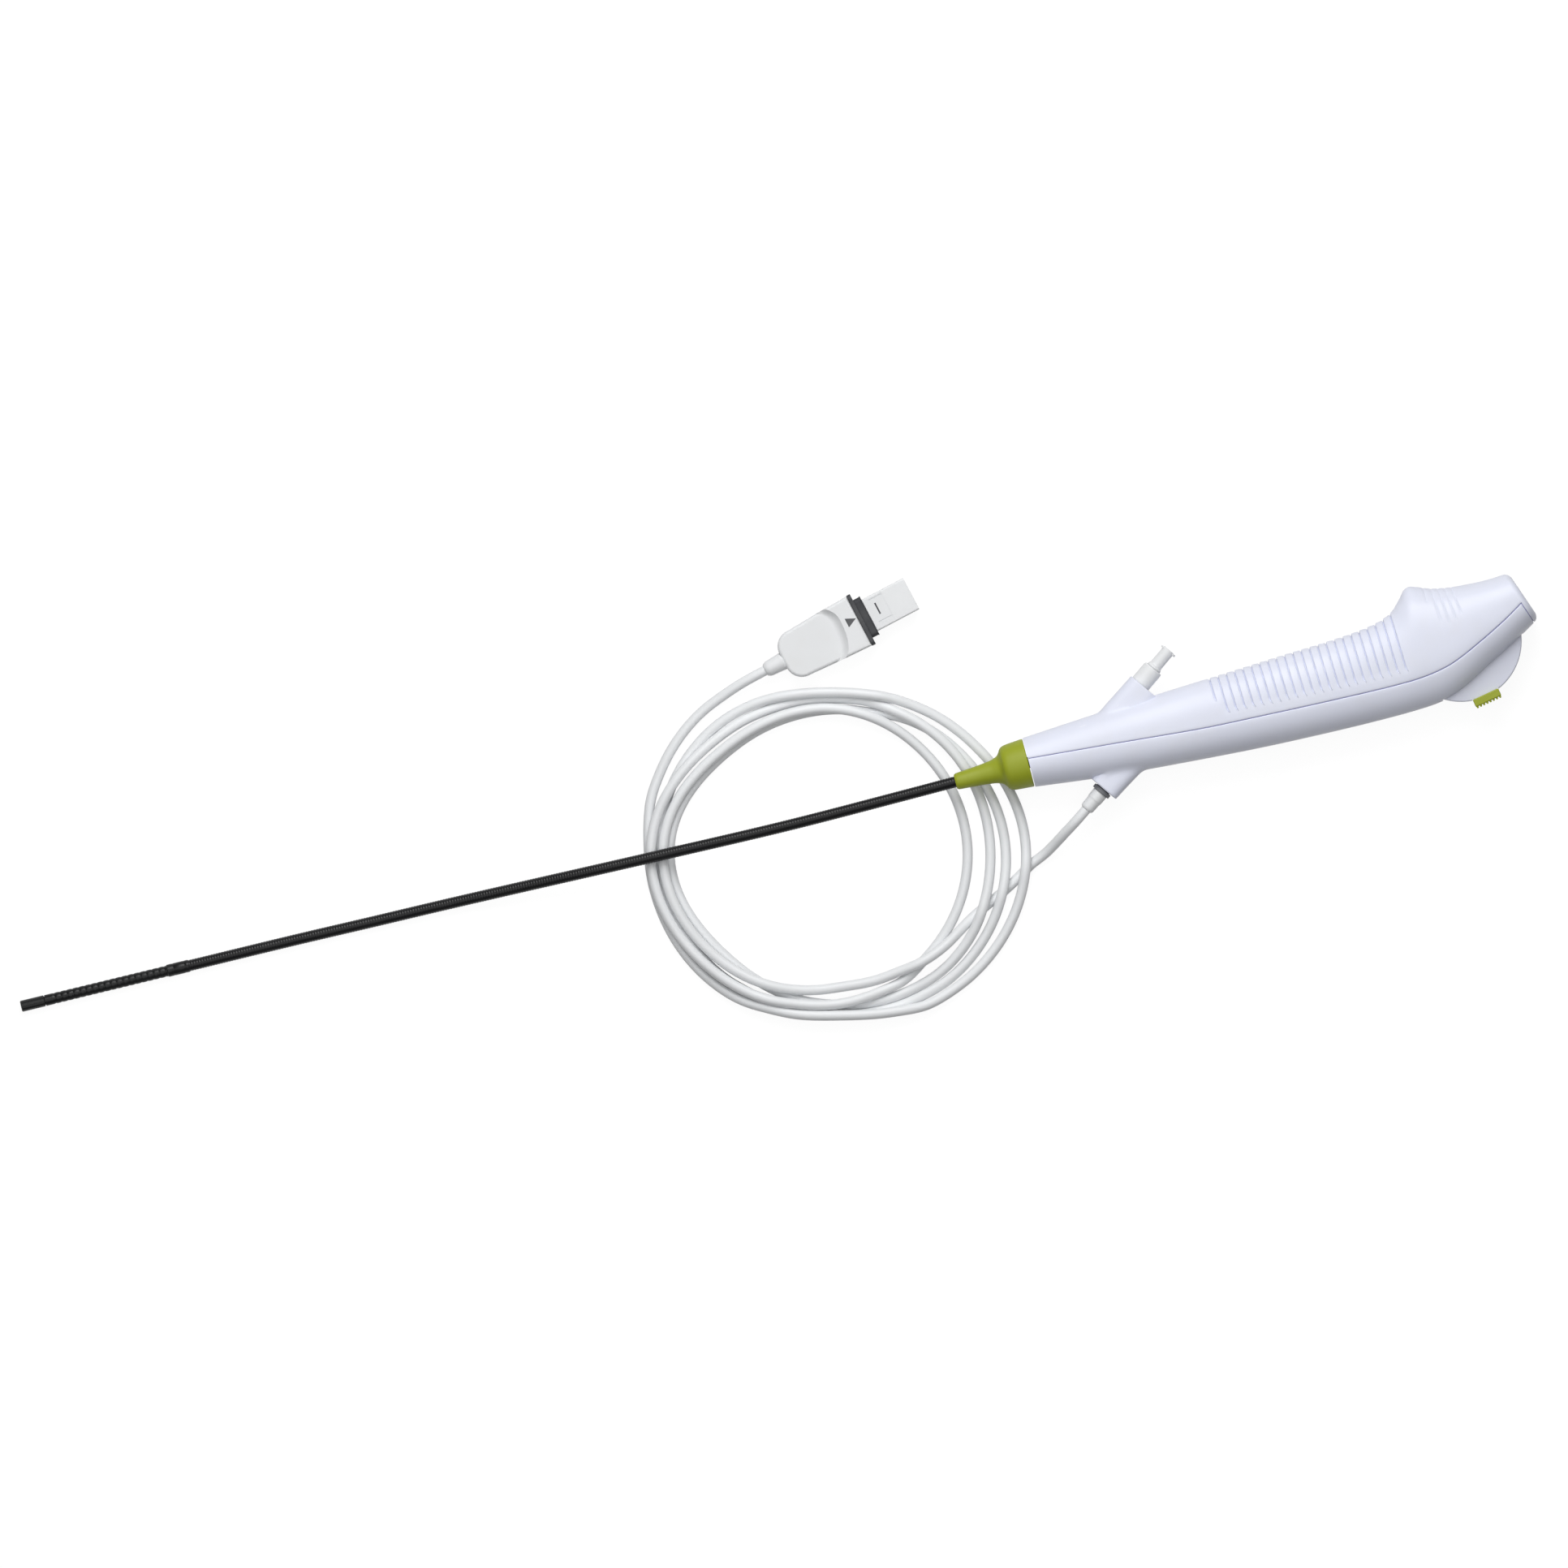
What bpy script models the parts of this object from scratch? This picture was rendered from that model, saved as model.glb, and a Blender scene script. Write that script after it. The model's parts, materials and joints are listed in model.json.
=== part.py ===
# A flexible intubation endoscope lying on its side on a table: a handle with a control wheel, an
# insertion tube with a jointed bending section, and a cable in loose turns that ends in a flat plug.
# Sizes are in millimetres, and the mesh helpers turn them into metres. +X runs along the handle
# from its nose to its head, +Y to the finger side, +Z up from the table.
import math

import bmesh
import bpy
from mathutils import Matrix, Vector

MM = 0.001

# Clearances, and how far a cutting tool runs past what it cuts
SEAT_GAP = 0.3
RUN_GAP = 0.6
FINE_GAP = 0.12
PAST = 2.0

# Handle housing: its edges are seen from above, the finger edge at +Y and the palm edge at -Y
HANDLE_HALF_WIDTH = 16.0
NOSE_RADIUS = 11.9
NOSE_X = -1.0
END_X = 250.6
END_SLOPE = 0.351
SLANT_FROM_X = 196.0
END_ROUNDING = 3.0
SHELL_WALL = 2.0
NOSE_WALL = 3.0
FINGER_EDGE = [
    (NOSE_X, NOSE_RADIUS), (33.0, 14.0), (70.0, 15.8), (124.0, 18.3), (160.0, 19.9),
    (177.0, 23.2), (186.0, 29.0), (193.0, 34.2), (204.0, 30.9), (216.0, 28.8), (233.0, 28.2),
    (256.0, 30.5),
]
PALM_EDGE = [
    (NOSE_X, -NOSE_RADIUS), (33.0, -15.9), (95.0, -20.6), (130.0, -22.3), (165.0, -23.1),
    (188.0, -22.7), (198.0, -21.3), (208.0, -17.7), (221.0, -10.8), (232.0, -5.3), (250.0, 5.0),
]
SIDE_WIDTHS = [(NOSE_X, NOSE_RADIUS), (40.0, 13.6), (90.0, HANDLE_HALF_WIDTH)]
FINGER_NOSE_STATIONS = [NOSE_X, 9.0, 21.0, 33.0, 46.0, 60.0, 75.0, 86.0]
FINGER_HUMP_STATIONS = [185.0, 188.2, 191.0, 194.0]
FINGER_HEAD_STATIONS = [220.0, 228.0, 237.0, 243.0]
PALM_STATIONS = [
    NOSE_X, 12.0, 26.0, 40.0, 60.0, 80.0, 100.0, 120.0, 140.0, 158.0, 172.0, 184.0, 192.0, 198.0,
    204.0, 210.0, 217.0, 224.0, 232.0, 240.0,
]
CAVITY_STATIONS = [
    NOSE_X + NOSE_WALL, 16.0, 33.0, 60.0, 90.0, 130.0, 162.0, 177.0, 186.0, 193.0, 201.0, 210.0,
    222.0, 235.0, END_X - SHELL_WALL,
]
HUMP_FROM_X = 172.0
HUMP_PINCH = 0.22
HUMP_START_RISE = 2.0
HUMP_TIP = 1.0
FULL_SECTION_X = 80.0
SECTION_SIDES = 24
CAVITY_SIDES = 16

# Parting line between the finger shell and the palm shell
PARTING_LINE = [
    (-6.0, 2.3), (40.0, -1.7), (81.6, -5.4), (109.0, -6.8), (145.0, -8.3), (177.7, -9.1),
    (192.7, -8.3), (205.0, -5.3), (220.6, 2.0), (233.8, 8.8), (242.8, 13.5),
]
PARTING_STEP = 9.0
END_CAP_DROP = 16.0
CUT_REACH = 80.0
CUT_AHEAD = 20.0

# Finger ribs of the grip and of the head
RIB_COUNT = 23
RIB_PITCH = 4.11
RIB_FIRST_X = 91.4
RIB_DEPTH = 0.75
RIB_VALLEY = 0.9
RIB_SIDE_MARGIN = 4.6
RIB_FADE = 2.0
HEAD_RIB_COUNT = 5
HEAD_RIB_FIRST_X = 197.5
HEAD_RIB_DEPTH = 0.45
HEAD_RIB_REACH = 15.0
HEAD_RIB_FADE = 3.0

# Working-channel port
PORT_X = 59.7
PORT_Y = 22.0
PORT_ANGLE = 38.0
PORT_FACE_RADIUS = 7.0
PORT_ROOT_RADIUS = 9.6
PORT_ROOT_LENGTH = 26.0
COLLAR_RADIUS = 4.65
COLLAR_LENGTH = 9.4
COLLAR_DEPTH = 8.0
LUER_STEM_RADIUS = 3.0
LUER_LENGTH = 21.6
LUER_BORE = 2.15
LUG_SPAN = 8.2
LUG_WIDTH = 3.8
LUG_THICKNESS = 1.3
BRANCH_LENGTH = 13.0
CHANNEL_RADIUS = 1.4

# Cable branch
CABLE_X = 29.8
CABLE_Y = -21.1
CABLE_ANGLE = 215.0
CABLE_FACE_RADIUS = 7.6
CABLE_ROOT_RADIUS = 8.8
CABLE_ROOT_LENGTH = 30.0
GLAND_RADIUS = 4.65
GLAND_THICKNESS = 2.0
GLAND_STEM_RADIUS = 3.6
GLAND_STEM_LENGTH = 8.0
BOOT_LENGTH = 10.0
BOOT_ROOT_RADIUS = 3.75
BOOT_TIP_RADIUS = 3.3
RIM_CHAMFER = 0.5
BOOT_RIM_LENGTH = 0.6

# Control wheel, its pad, its drum and its axle
WHEEL_X = 210.7
WHEEL_Y = 3.3
WHEEL_RADIUS = 28.7
WHEEL_THICKNESS = 7.0
WHEEL_FROM_ANGLE = -150.0
WHEEL_TO_ANGLE = 18.0
WHEEL_HUB_RADIUS = 8.0
WHEEL_EDGE = 0.6
AXLE_RADIUS = 2.4
AXLE_LENGTH = 26.4
BOSS_RADIUS = 5.0
BOSS_ROOT = 0.8
PAD_ANGLE = -80.0
PAD_LENGTH = 13.3
PAD_WIDTH = 12.0
PAD_HEIGHT = 2.6
PAD_SEAT_DEPTH = 1.2
TOOTH_COUNT = 8
TOOTH_HEIGHT = 0.9
TOOTH_SHARES = [(0.25, 0.0), (0.38, TOOTH_HEIGHT), (0.72, TOOTH_HEIGHT), (0.85, 0.0)]
DRUM_WIRE_RADIUS = 6.5
DRUM_FLANGE = 1.6
DRUM_FLANGE_THICKNESS = 2.0
WIRE_RADIUS = 0.4

# Inside the grip
STOP_X = 143.5
STOP_LENGTH = 11.0
STOP_HEIGHT = 5.0
STOP_MARGIN = 2.6
WIRE_HOLE_RADIUS = 0.75
CONDUIT_RADIUS = 0.8
CONDUIT_STRAIGHT = 12.0
CONDUIT_STEP = 9.0
CONDUIT_FRONT_ROUTE = [(80.0, 8.0, 6.5), (48.0, 4.4, 6.6), (28.0, 2.6, 5.0)]
CONDUIT_FRONT_END = (1.6, 3.4)
CONDUIT_BACK_ROUTE = [(80.0, -2.0, 6.5), (48.0, -2.0, 6.6), (28.0, -1.4, 5.0)]
CONDUIT_BACK_END = (-1.8, 3.0)
CHANNEL_BEND = (27.0, 3.0, -0.2)
CHANNEL_END = (2.8, -0.4)
CHANNEL_STRAIGHT = 6.0
CHANNEL_STEP = 4.0
ANCHOR_RUN = 4.0
BOARD_FROM_X = 72.0
BOARD_LENGTH = 78.0
BOARD_WIDTH = 17.0
BOARD_MIDDLE_Y = -4.5
BOARD_THICKNESS = 1.6
BOARD_TOP = -7.0
BOARD_POST_RADIUS = 2.2
BOARD_POST_MARGIN = 9.0
CHIP_HEIGHT = 1.4
CHIPS = [(15.6, 8.0), (35.1, 11.0), (58.5, 6.0)]
LEAD_RADIUS = 0.9
LEAD_STRAIGHT = 8.0
CAMERA_LEAD_ROUTE = [(40.0, -1.5, -6.4), (22.0, -2.4, -3.4)]
CAMERA_LEAD_END = (-2.8, -2.6)
CAMERA_LEAD_STEP = 6.0
BOARD_LEAD_RADIUS = 1.6
BOARD_LEAD_BEND = (54.0, -9.6, -5.0)
BOARD_LEAD_STEP = 5.0
ANCHOR_NECK_RADIUS = 5.7
ANCHOR_RADIUS = 7.5
ANCHOR_LENGTH = 10.0

# Bend relief: distance in front of the nose face, and radius
RELIEF_PROFILE = [
    (1.2, 11.6), (8.0, 11.1), (10.6, 10.7), (12.1, 9.7), (12.9, 8.1), (14.2, 6.6), (17.5, 5.5),
    (24.0, 4.75), (30.0, 4.3), (34.9, 3.95), (35.7, 3.5),
]
RELIEF_SIDES = 24

# Insertion tube and bending section
TUBE_RADIUS = 2.7
SLEEVE_RADIUS = 2.95
SLEEVE_LENGTH = 10.3
SLEEVE_HOLLOW = 2.5
SOFT_EDGE = 0.3
SHAFT_REST_Z = 3.0
SHAFT_END_X = -419.4
SHAFT_END_Y = 8.72
SHAFT_END_ANGLE = 178.83
# each point as x, y and its share of the drop from the handle's axis that is still to come
TUBE_ROUTE = [
    (-18.0, 0.0, 1.0), (-38.0, 0.0, 1.0), (-62.0, 0.0, 0.954), (-119.0, 0.3, 0.838),
    (-182.0, 2.1, 0.715), (-215.0, 3.2, 0.569), (-250.0, 4.4, 0.277), (-285.0, 5.5, 0.069),
    (-320.0, 6.4, 0.008), (-355.0, 7.4, 0.0), (-388.0, 8.1, 0.0),
]
TUBE_STEP = 13.5
TUBE_STRAIGHT = 8.0
LINK_COUNT = 18
LINK_PITCH = 2.97
FIRST_HINGE = 1.0
LINK_RADIUS = 2.15
LINK_BORE = 1.55
LINK_SIDES = 10
LUG_SIDES = 8
LUG_RADIUS = 0.75
LUG_REACH = LUG_RADIUS + 0.1
LINK_OPEN = 0.4
COVER_RADIUS = 2.6
COVER_WALL = 0.28
TIP_NECK = 5.0
TIP_LENGTH = 11.5
TIP_ROUNDING = 0.4
TIP_POCKET = 1.0
CHANNEL_MOUTH_RADIUS = 0.85
LENS_RADIUS = 0.6
LED_RADIUS = 0.3
LED_AT = (1.45, 0.15)
RECESS = 0.1

# Cable and its coil; the coil lies inside two ellipses, seen from above
CORD_RADIUS = 2.4
CORD_STEP = 11.0
# heights of the lead as shares of the drop, like those of the insertion tube
LEAD_ROUTE = [
    (13.5, -32.4, 0.949), (6.5, -36.8, 0.662), (0.5, -40.6, 0.309), (-5.0, -43.7, 0.081),
    (-9.5, -45.6, 0.007), (-12.9, -47.1, 0.0),
]
TAIL_ROUTE = [
    (-181.6, 19.5, CORD_RADIUS), (-177.5, 29.5, CORD_RADIUS), (-170.8, 39.5, CORD_RADIUS),
    (-162.5, 49.0, CORD_RADIUS), (-153.0, 57.0, CORD_RADIUS), (-143.5, 62.8, 2.6),
    (-133.5, 67.0, 3.6), (-123.0, 70.6, 5.3),
]
TAIL_STRAIGHT = 5.0
TAIL_SAG = 0.4
COIL_OUTSIDE = (-99.4, -18.2, 90.4, 79.4)
COIL_INSIDE = (-108.8, -13.2, 69.6, 63.6)
COIL_HEIGHT = 9.2
COIL_EDGE_HEIGHT = 4.8
COIL_SIDES = 48

# Plug: lengths run from the middle of its flange
PLUG_X = -60.3
PLUG_Y = 85.3
PLUG_ANGLE = 13.0
PLUG_HALF_HEIGHT = 6.7
FLANGE_WIDTH = 26.7
FLANGE_THICKNESS = 1.6
FLANGE_STEP = 0.2
SEAL_WIDTH = 20.6
SEAL_HEIGHT = 10.0
SEAL_THICKNESS = 3.0
SHROUD_WIDTH = 16.7
SHROUD_HEIGHT = 8.8
SHROUD_LENGTH = 22.2
SHROUD_WALL = 1.0
PLUG_BODY_LENGTH = 40.6
PLUG_BODY_WIDTH = 26.2
PLUG_TAIL_WIDTH = 21.0
PLUG_CORNER = 8.0
PLUG_NECK_WIDTH = 8.6
PLUG_EDGE = 1.3
PLUG_SHOULDER = 1.2
PLUG_NECK_FLARE = 0.6
PLUG_BAR_CORNER = 2.0
SCOOP_DEPTH = 1.5
SCOOP_FROM = 8.5
SCOOP_BOW = 3.4
PLUG_BOOT_LENGTH = 9.2
PLUG_BOOT_RADIUS = 4.0
PLUG_BOOT_TIP_RADIUS = 3.6
PLUG_BOOT_STEP = 0.1
PLUG_BOOT_NOSE = 1.6
SOCKET_FLOOR = 3.0
LATCH_FROM = 3.9
LATCH_LENGTH = 1.1
LATCH_WIDTH = 5.2
TONGUE_THICKNESS = 1.6
TONGUE_MARGIN = 1.5
TONGUE_SETBACK = 7.0

# Pieces on the free cable, which the origin leaves out
CABLE_PIECES = (
    "cable_boot", "cable_lead", "cable_coil", "cable_tail", "plug_boot", "plug_top", "plug_base",
    "plug_flange", "plug_seal", "plug_shroud", "plug_board",
)


# Scene and placing

def clear_scene():
    for thing in list(bpy.data.objects):
        bpy.data.objects.remove(thing, do_unlink=True)


def finish(name, colour, roughness, metallic=0.0):
    material = bpy.data.materials.new(name)
    material.use_nodes = True
    shader = material.node_tree.nodes["Principled BSDF"]
    shader.inputs["Base Color"].default_value = (*colour, 1.0)
    shader.inputs["Roughness"].default_value = roughness
    shader.inputs["Metallic"].default_value = metallic
    return material


def place(thing, parent, at=(0.0, 0.0, 0.0), turn=0.0):
    bpy.context.collection.objects.link(thing)
    thing.parent = parent
    thing.location = Vector(at) * MM
    thing.rotation_euler = (0.0, 0.0, math.radians(turn))
    return thing


def frame(name, parent, at=(0.0, 0.0, 0.0), turn=0.0):
    return place(bpy.data.objects.new(name, None), parent, at, turn)


def mesh_piece(name, shape, material, parent, at=(0.0, 0.0, 0.0), turn=0.0):
    bmesh.ops.remove_doubles(shape, verts=shape.verts, dist=1e-4)
    bmesh.ops.recalc_face_normals(shape, faces=shape.faces)
    bmesh.ops.scale(shape, vec=(MM, MM, MM), verts=shape.verts)
    mesh = bpy.data.meshes.new(name)
    shape.to_mesh(mesh)
    shape.free()
    mesh.shade_smooth()
    mesh.set_sharp_from_angle(angle=math.radians(35.0))
    if material:
        mesh.materials.append(material)
    return place(bpy.data.objects.new(name, mesh), parent, at, turn)


def shaped(piece, tool, operation):
    """Cuts, joins or keeps what the tool covers, and hides the tool."""
    tool.hide_render = True
    tool.display_type = "WIRE"
    change = piece.modifiers.new(tool.name, "BOOLEAN")
    change.object = tool
    change.operation = operation
    change.solver = "EXACT"


def bevelled(piece, width, segments=2, angle=40.0):
    edge = piece.modifiers.new("edge", "BEVEL")
    edge.width = width * MM
    edge.segments = segments
    edge.limit_method = "ANGLE"
    edge.angle_limit = math.radians(angle)


# Shapes

def turned(profile, sides, axis="X", closed=False):
    """A profile of (distance along the axis, radius), spun once round the axis."""
    shape = bmesh.new()
    if axis == "X":
        rim = [shape.verts.new((along, 0.0, radius)) for along, radius in profile]
        direction = (1.0, 0.0, 0.0)
    else:
        rim = [shape.verts.new((radius, 0.0, along)) for along, radius in profile]
        direction = (0.0, 0.0, 1.0)
    edges = [shape.edges.new(pair) for pair in zip(rim, rim[1:])]
    if closed:
        edges.append(shape.edges.new((rim[-1], rim[0])))
    bmesh.ops.spin(
        shape, geom=rim + edges, cent=(0.0, 0.0, 0.0), axis=direction,
        angle=math.tau, steps=sides, use_merge=True,
    )
    return shape


def rod(start, end, radius, sides, axis="X"):
    return turned([(start, 0.0), (start, radius), (end, radius), (end, 0.0)], sides, axis)


def extruded(outline, low, high):
    shape = bmesh.new()
    corners = [shape.verts.new((x, y, low)) for x, y in outline]
    floor = shape.faces.new(corners)
    raised = bmesh.ops.extrude_face_region(shape, geom=[floor])["geom"]
    lifted = [item for item in raised if isinstance(item, bmesh.types.BMVert)]
    bmesh.ops.translate(shape, vec=(0.0, 0.0, high - low), verts=lifted)
    return shape


def block(low, high):
    outline = [(low[0], low[1]), (high[0], low[1]), (high[0], high[1]), (low[0], high[1])]
    return extruded(outline, low[2], high[2])


def lofted(sections):
    shape = bmesh.new()
    rings = [[shape.verts.new(point) for point in section] for section in sections]
    for ring, following in zip(rings, rings[1:]):
        for i in range(len(ring)):
            j = (i + 1) % len(ring)
            shape.faces.new((ring[i], ring[j], following[j], following[i]))
    shape.faces.new(rings[0])
    shape.faces.new(rings[-1])
    return shape


def together(shapes):
    """Several separate solids in one mesh, for a tool that cuts or joins in several places."""
    whole = bmesh.new()
    for shape in shapes:
        bmesh.ops.recalc_face_normals(shape, faces=shape.faces)
        copies = {vert: whole.verts.new(vert.co) for vert in shape.verts}
        for face in shape.faces:
            whole.faces.new([copies[vert] for vert in face.verts])
        shape.free()
    return whole


def moved(shape, at, turn=0.0):
    bmesh.ops.rotate(shape, cent=(0.0, 0.0, 0.0), matrix=Matrix.Rotation(math.radians(turn), 3, "Z"),
                     verts=shape.verts)
    bmesh.ops.translate(shape, vec=at, verts=shape.verts)
    return shape


def arc(centre_x, centre_y, radius, start, end, steps):
    angles = [math.radians(start + (end - start) * i / steps) for i in range(steps + 1)]
    return [(centre_x + radius * math.cos(a), centre_y + radius * math.sin(a)) for a in angles]


def rounded_bar(length_from, length_to, width, height, corner, steps=2):
    """A bar along X with rounded long edges, as a loft of two sections."""
    section = []
    for turn, side_y, side_z in ((0, 1, 1), (90, -1, 1), (180, -1, -1), (270, 1, -1)):
        middle = (side_y * (width / 2 - corner), side_z * (height / 2 - corner))
        section += arc(*middle, corner, turn, turn + 90, steps)
    return lofted([[(x, y, z) for y, z in section] for x in (length_from, length_to)])


def smooth_value(points, x):
    """The height at x of a smooth curve through (x, height) points, level past its ends."""
    if x <= points[0][0]:
        return points[0][1]
    if x >= points[-1][0]:
        return points[-1][1]
    at = max(i for i in range(len(points) - 1) if points[i][0] <= x)
    slopes = []
    for i in (at, at + 1):
        before, after = points[max(i - 1, 0)], points[min(i + 1, len(points) - 1)]
        slopes.append((after[1] - before[1]) / (after[0] - before[0]))
    span = points[at + 1][0] - points[at][0]
    t = (x - points[at][0]) / span
    rise = points[at + 1][1] - points[at][1]
    curve = slopes[0] * span * t * (1 - t) ** 2 - slopes[1] * span * t * t * (1 - t)
    return points[at][1] + rise * t * t * (3 - 2 * t) + curve


def smooth_route(points, step):
    """Evenly spaced points on one smooth curve through the route's own points."""
    knots = [Vector(point) for point in points]
    knots = [2 * knots[0] - knots[1], *knots, 2 * knots[-1] - knots[-2]]
    dense = []
    for before, start, end, after in zip(knots, knots[1:], knots[2:], knots[3:]):
        leave = (end - before) * (end - start).length / ((end - start).length + (start - before).length)
        reach = (after - start) * (end - start).length / ((end - start).length + (after - end).length)
        for i in range(24):
            t = i / 24
            dense.append(
                start + (end - start) * t * t * (3 - 2 * t)
                + leave * t * (1 - t) ** 2 - reach * t * t * (1 - t)
            )
    dense.append(knots[-2])
    lengths = [0.0]
    for here, there in zip(dense, dense[1:]):
        lengths.append(lengths[-1] + (there - here).length)
    count = max(2, round(lengths[-1] / step))
    route = []
    for i in range(count + 1):
        wanted = lengths[-1] * i / count
        at = min(max(k for k in range(len(lengths)) if lengths[k] <= wanted), len(dense) - 2)
        share = (wanted - lengths[at]) / (lengths[at + 1] - lengths[at])
        route.append(dense[at].lerp(dense[at + 1], share))
    return route


def tube_piece(name, route, radius, material, parent, sides=2):
    curve = bpy.data.curves.new(name, "CURVE")
    curve.dimensions = "3D"
    curve.bevel_depth = radius * MM
    curve.bevel_resolution = sides
    curve.use_fill_caps = True
    curve.materials.append(material)
    spline = curve.splines.new("POLY")
    spline.points.add(len(route) - 1)
    for point, at in zip(spline.points, route):
        point.co = (*(Vector(at) * MM), 1.0)
    return place(bpy.data.objects.new(name, curve), parent)


def along(x, y, angle, distance, aside=0.0):
    """The point at a distance along a line through (x, y), and aside from it."""
    direction = math.radians(angle)
    return (
        x + distance * math.cos(direction) - aside * math.sin(direction),
        y + distance * math.sin(direction) + aside * math.cos(direction),
    )


# Handle housing

def rib_depth(x, y):
    """How deep a rib's valley lies at a place on the finger side."""
    depth = 0.0
    first = round((x - RIB_FIRST_X) / RIB_PITCH)
    if 0 <= first < RIB_COUNT and abs(x - RIB_FIRST_X - first * RIB_PITCH) < RIB_VALLEY / 4:
        margin = y - smooth_value(PARTING_LINE, x) - RIB_SIDE_MARGIN
        if first == 0:
            margin -= 2 * RIB_SIDE_MARGIN
        depth = RIB_DEPTH * min(max(margin / RIB_FADE, 0.0), 1.0)
    head = round((x - HEAD_RIB_FIRST_X) / RIB_PITCH)
    if 0 <= head < HEAD_RIB_COUNT and abs(x - HEAD_RIB_FIRST_X - head * RIB_PITCH) < RIB_VALLEY / 4:
        depth = HEAD_RIB_DEPTH * min(max((y - HEAD_RIB_REACH) / HEAD_RIB_FADE, 0.0), 1.0)
    return depth


def rib_stations(first_x, count):
    places = []
    for i in range(count):
        middle = first_x + i * RIB_PITCH
        places += [middle - RIB_VALLEY / 2, middle, middle + RIB_VALLEY / 2]
    return places


def handle_section(x, inset, sides, ribbed):
    """One ring round the handle, in a plane that leans with the end face near the head."""
    lean = min(max((x - SLANT_FROM_X) / (END_X - SLANT_FROM_X), 0.0), 1.0)
    slope = END_SLOPE * lean * lean * (3 - 2 * lean)
    finger, palm = smooth_value(FINGER_EDGE, x), smooth_value(PALM_EDGE, x)
    for _ in range(5):
        finger = smooth_value(FINGER_EDGE, x - slope * finger)
        palm = smooth_value(PALM_EDGE, x - slope * palm)
    base = min(finger, smooth_value(FINGER_EDGE, HUMP_FROM_X) + HUMP_START_RISE)
    finger, palm = finger - inset, palm + inset
    half = smooth_value(SIDE_WIDTHS, x) - inset
    middle, reach = (finger + palm) / 2, (finger - palm) / 2
    power = 2.0 / (2.0 + 0.4 * min(max(x / FULL_SECTION_X, 0.0), 1.0))
    widest = math.cos(math.pi / sides) ** power
    ring = []
    for i in range(sides):
        angle = math.tau * (i + 0.5) / sides
        cosine, sine = math.cos(angle), math.sin(angle)
        y = middle + reach * math.copysign(abs(cosine) ** power, cosine)
        z = half * math.copysign(abs(sine) ** power, sine) / widest
        if y > base and x > HUMP_FROM_X:
            z *= 1 - HUMP_PINCH * ((y - base) / (finger - base + HUMP_TIP)) ** 2
        depth = rib_depth(x, y) if ribbed else 0.0
        away = Vector(((y - middle) / reach ** 2, z / half ** 2)).normalized() * depth
        ring.append((x - slope * (y - away.x), y - away.x, z - away.y))
    return ring


def end_sections(inset, sides):
    rings = []
    for angle in (0.0, 30.0, 60.0, 90.0):
        turn = math.radians(angle)
        x = END_X - inset - END_ROUNDING * (1 - math.sin(turn))
        rings.append(handle_section(x, inset + END_ROUNDING * (1 - math.cos(turn)), sides, False))
    return rings


def finger_body():
    places = FINGER_NOSE_STATIONS + rib_stations(RIB_FIRST_X, RIB_COUNT) + FINGER_HUMP_STATIONS
    places += rib_stations(HEAD_RIB_FIRST_X, HEAD_RIB_COUNT) + FINGER_HEAD_STATIONS
    rings = [handle_section(x, 0.0, SECTION_SIDES, True) for x in sorted(places)]
    return lofted(rings + end_sections(0.0, SECTION_SIDES))


def palm_body():
    rings = [handle_section(x, 0.0, SECTION_SIDES, False) for x in PALM_STATIONS]
    return lofted(rings + end_sections(0.0, SECTION_SIDES))


def cavity_body():
    return lofted([handle_section(x, SHELL_WALL, CAVITY_SIDES, False) for x in CAVITY_STATIONS])


def parting_path(offset):
    """The parting line from above, moved sideways: along the side, then down beside the end face."""
    first, last = PARTING_LINE[0], PARTING_LINE[-1]
    count = round((last[0] - first[0]) / PARTING_STEP)
    path = []
    for i in range(count + 1):
        x = first[0] + (last[0] - first[0]) * i / count
        path.append(Vector((x, smooth_value(PARTING_LINE, x))))
    path.append(path[-1] + Vector((END_SLOPE, -1.0)) * END_CAP_DROP)
    shifted = []
    for i, point in enumerate(path):
        sides = []
        for near, far in ((i - 1, i), (i, i + 1)):
            if near >= 0 and far < len(path):
                run = (path[far] - path[near]).normalized()
                sides.append(Vector((-run.y, run.x)))
        normal = sum(sides, Vector((0.0, 0.0))).normalized()
        shifted.append(point + normal * offset / normal.dot(sides[0]))
    return [(point.x, point.y) for point in shifted]


def side_cutter(name, parent, offset, far_y):
    """Everything on one side of the parting line."""
    path = parting_path(offset)
    reach_x = END_X + CUT_AHEAD
    if far_y < 0:
        outline = path + [(path[-1][0], far_y), (path[0][0], far_y)]
    else:
        outline = path + [(reach_x, path[-1][1]), (reach_x, far_y), (path[0][0], far_y)]
    width = 2 * HANDLE_HALF_WIDTH
    return mesh_piece(name, extruded(outline, -width, width), None, parent)


def branch_cone(x, y, angle, face_radius, root_radius, length):
    cone = turned([(-length, 0.0), (-length, root_radius), (0.0, face_radius), (0.0, 0.0)], 24)
    return moved(cone, (x, y, 0.0), angle)


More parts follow.
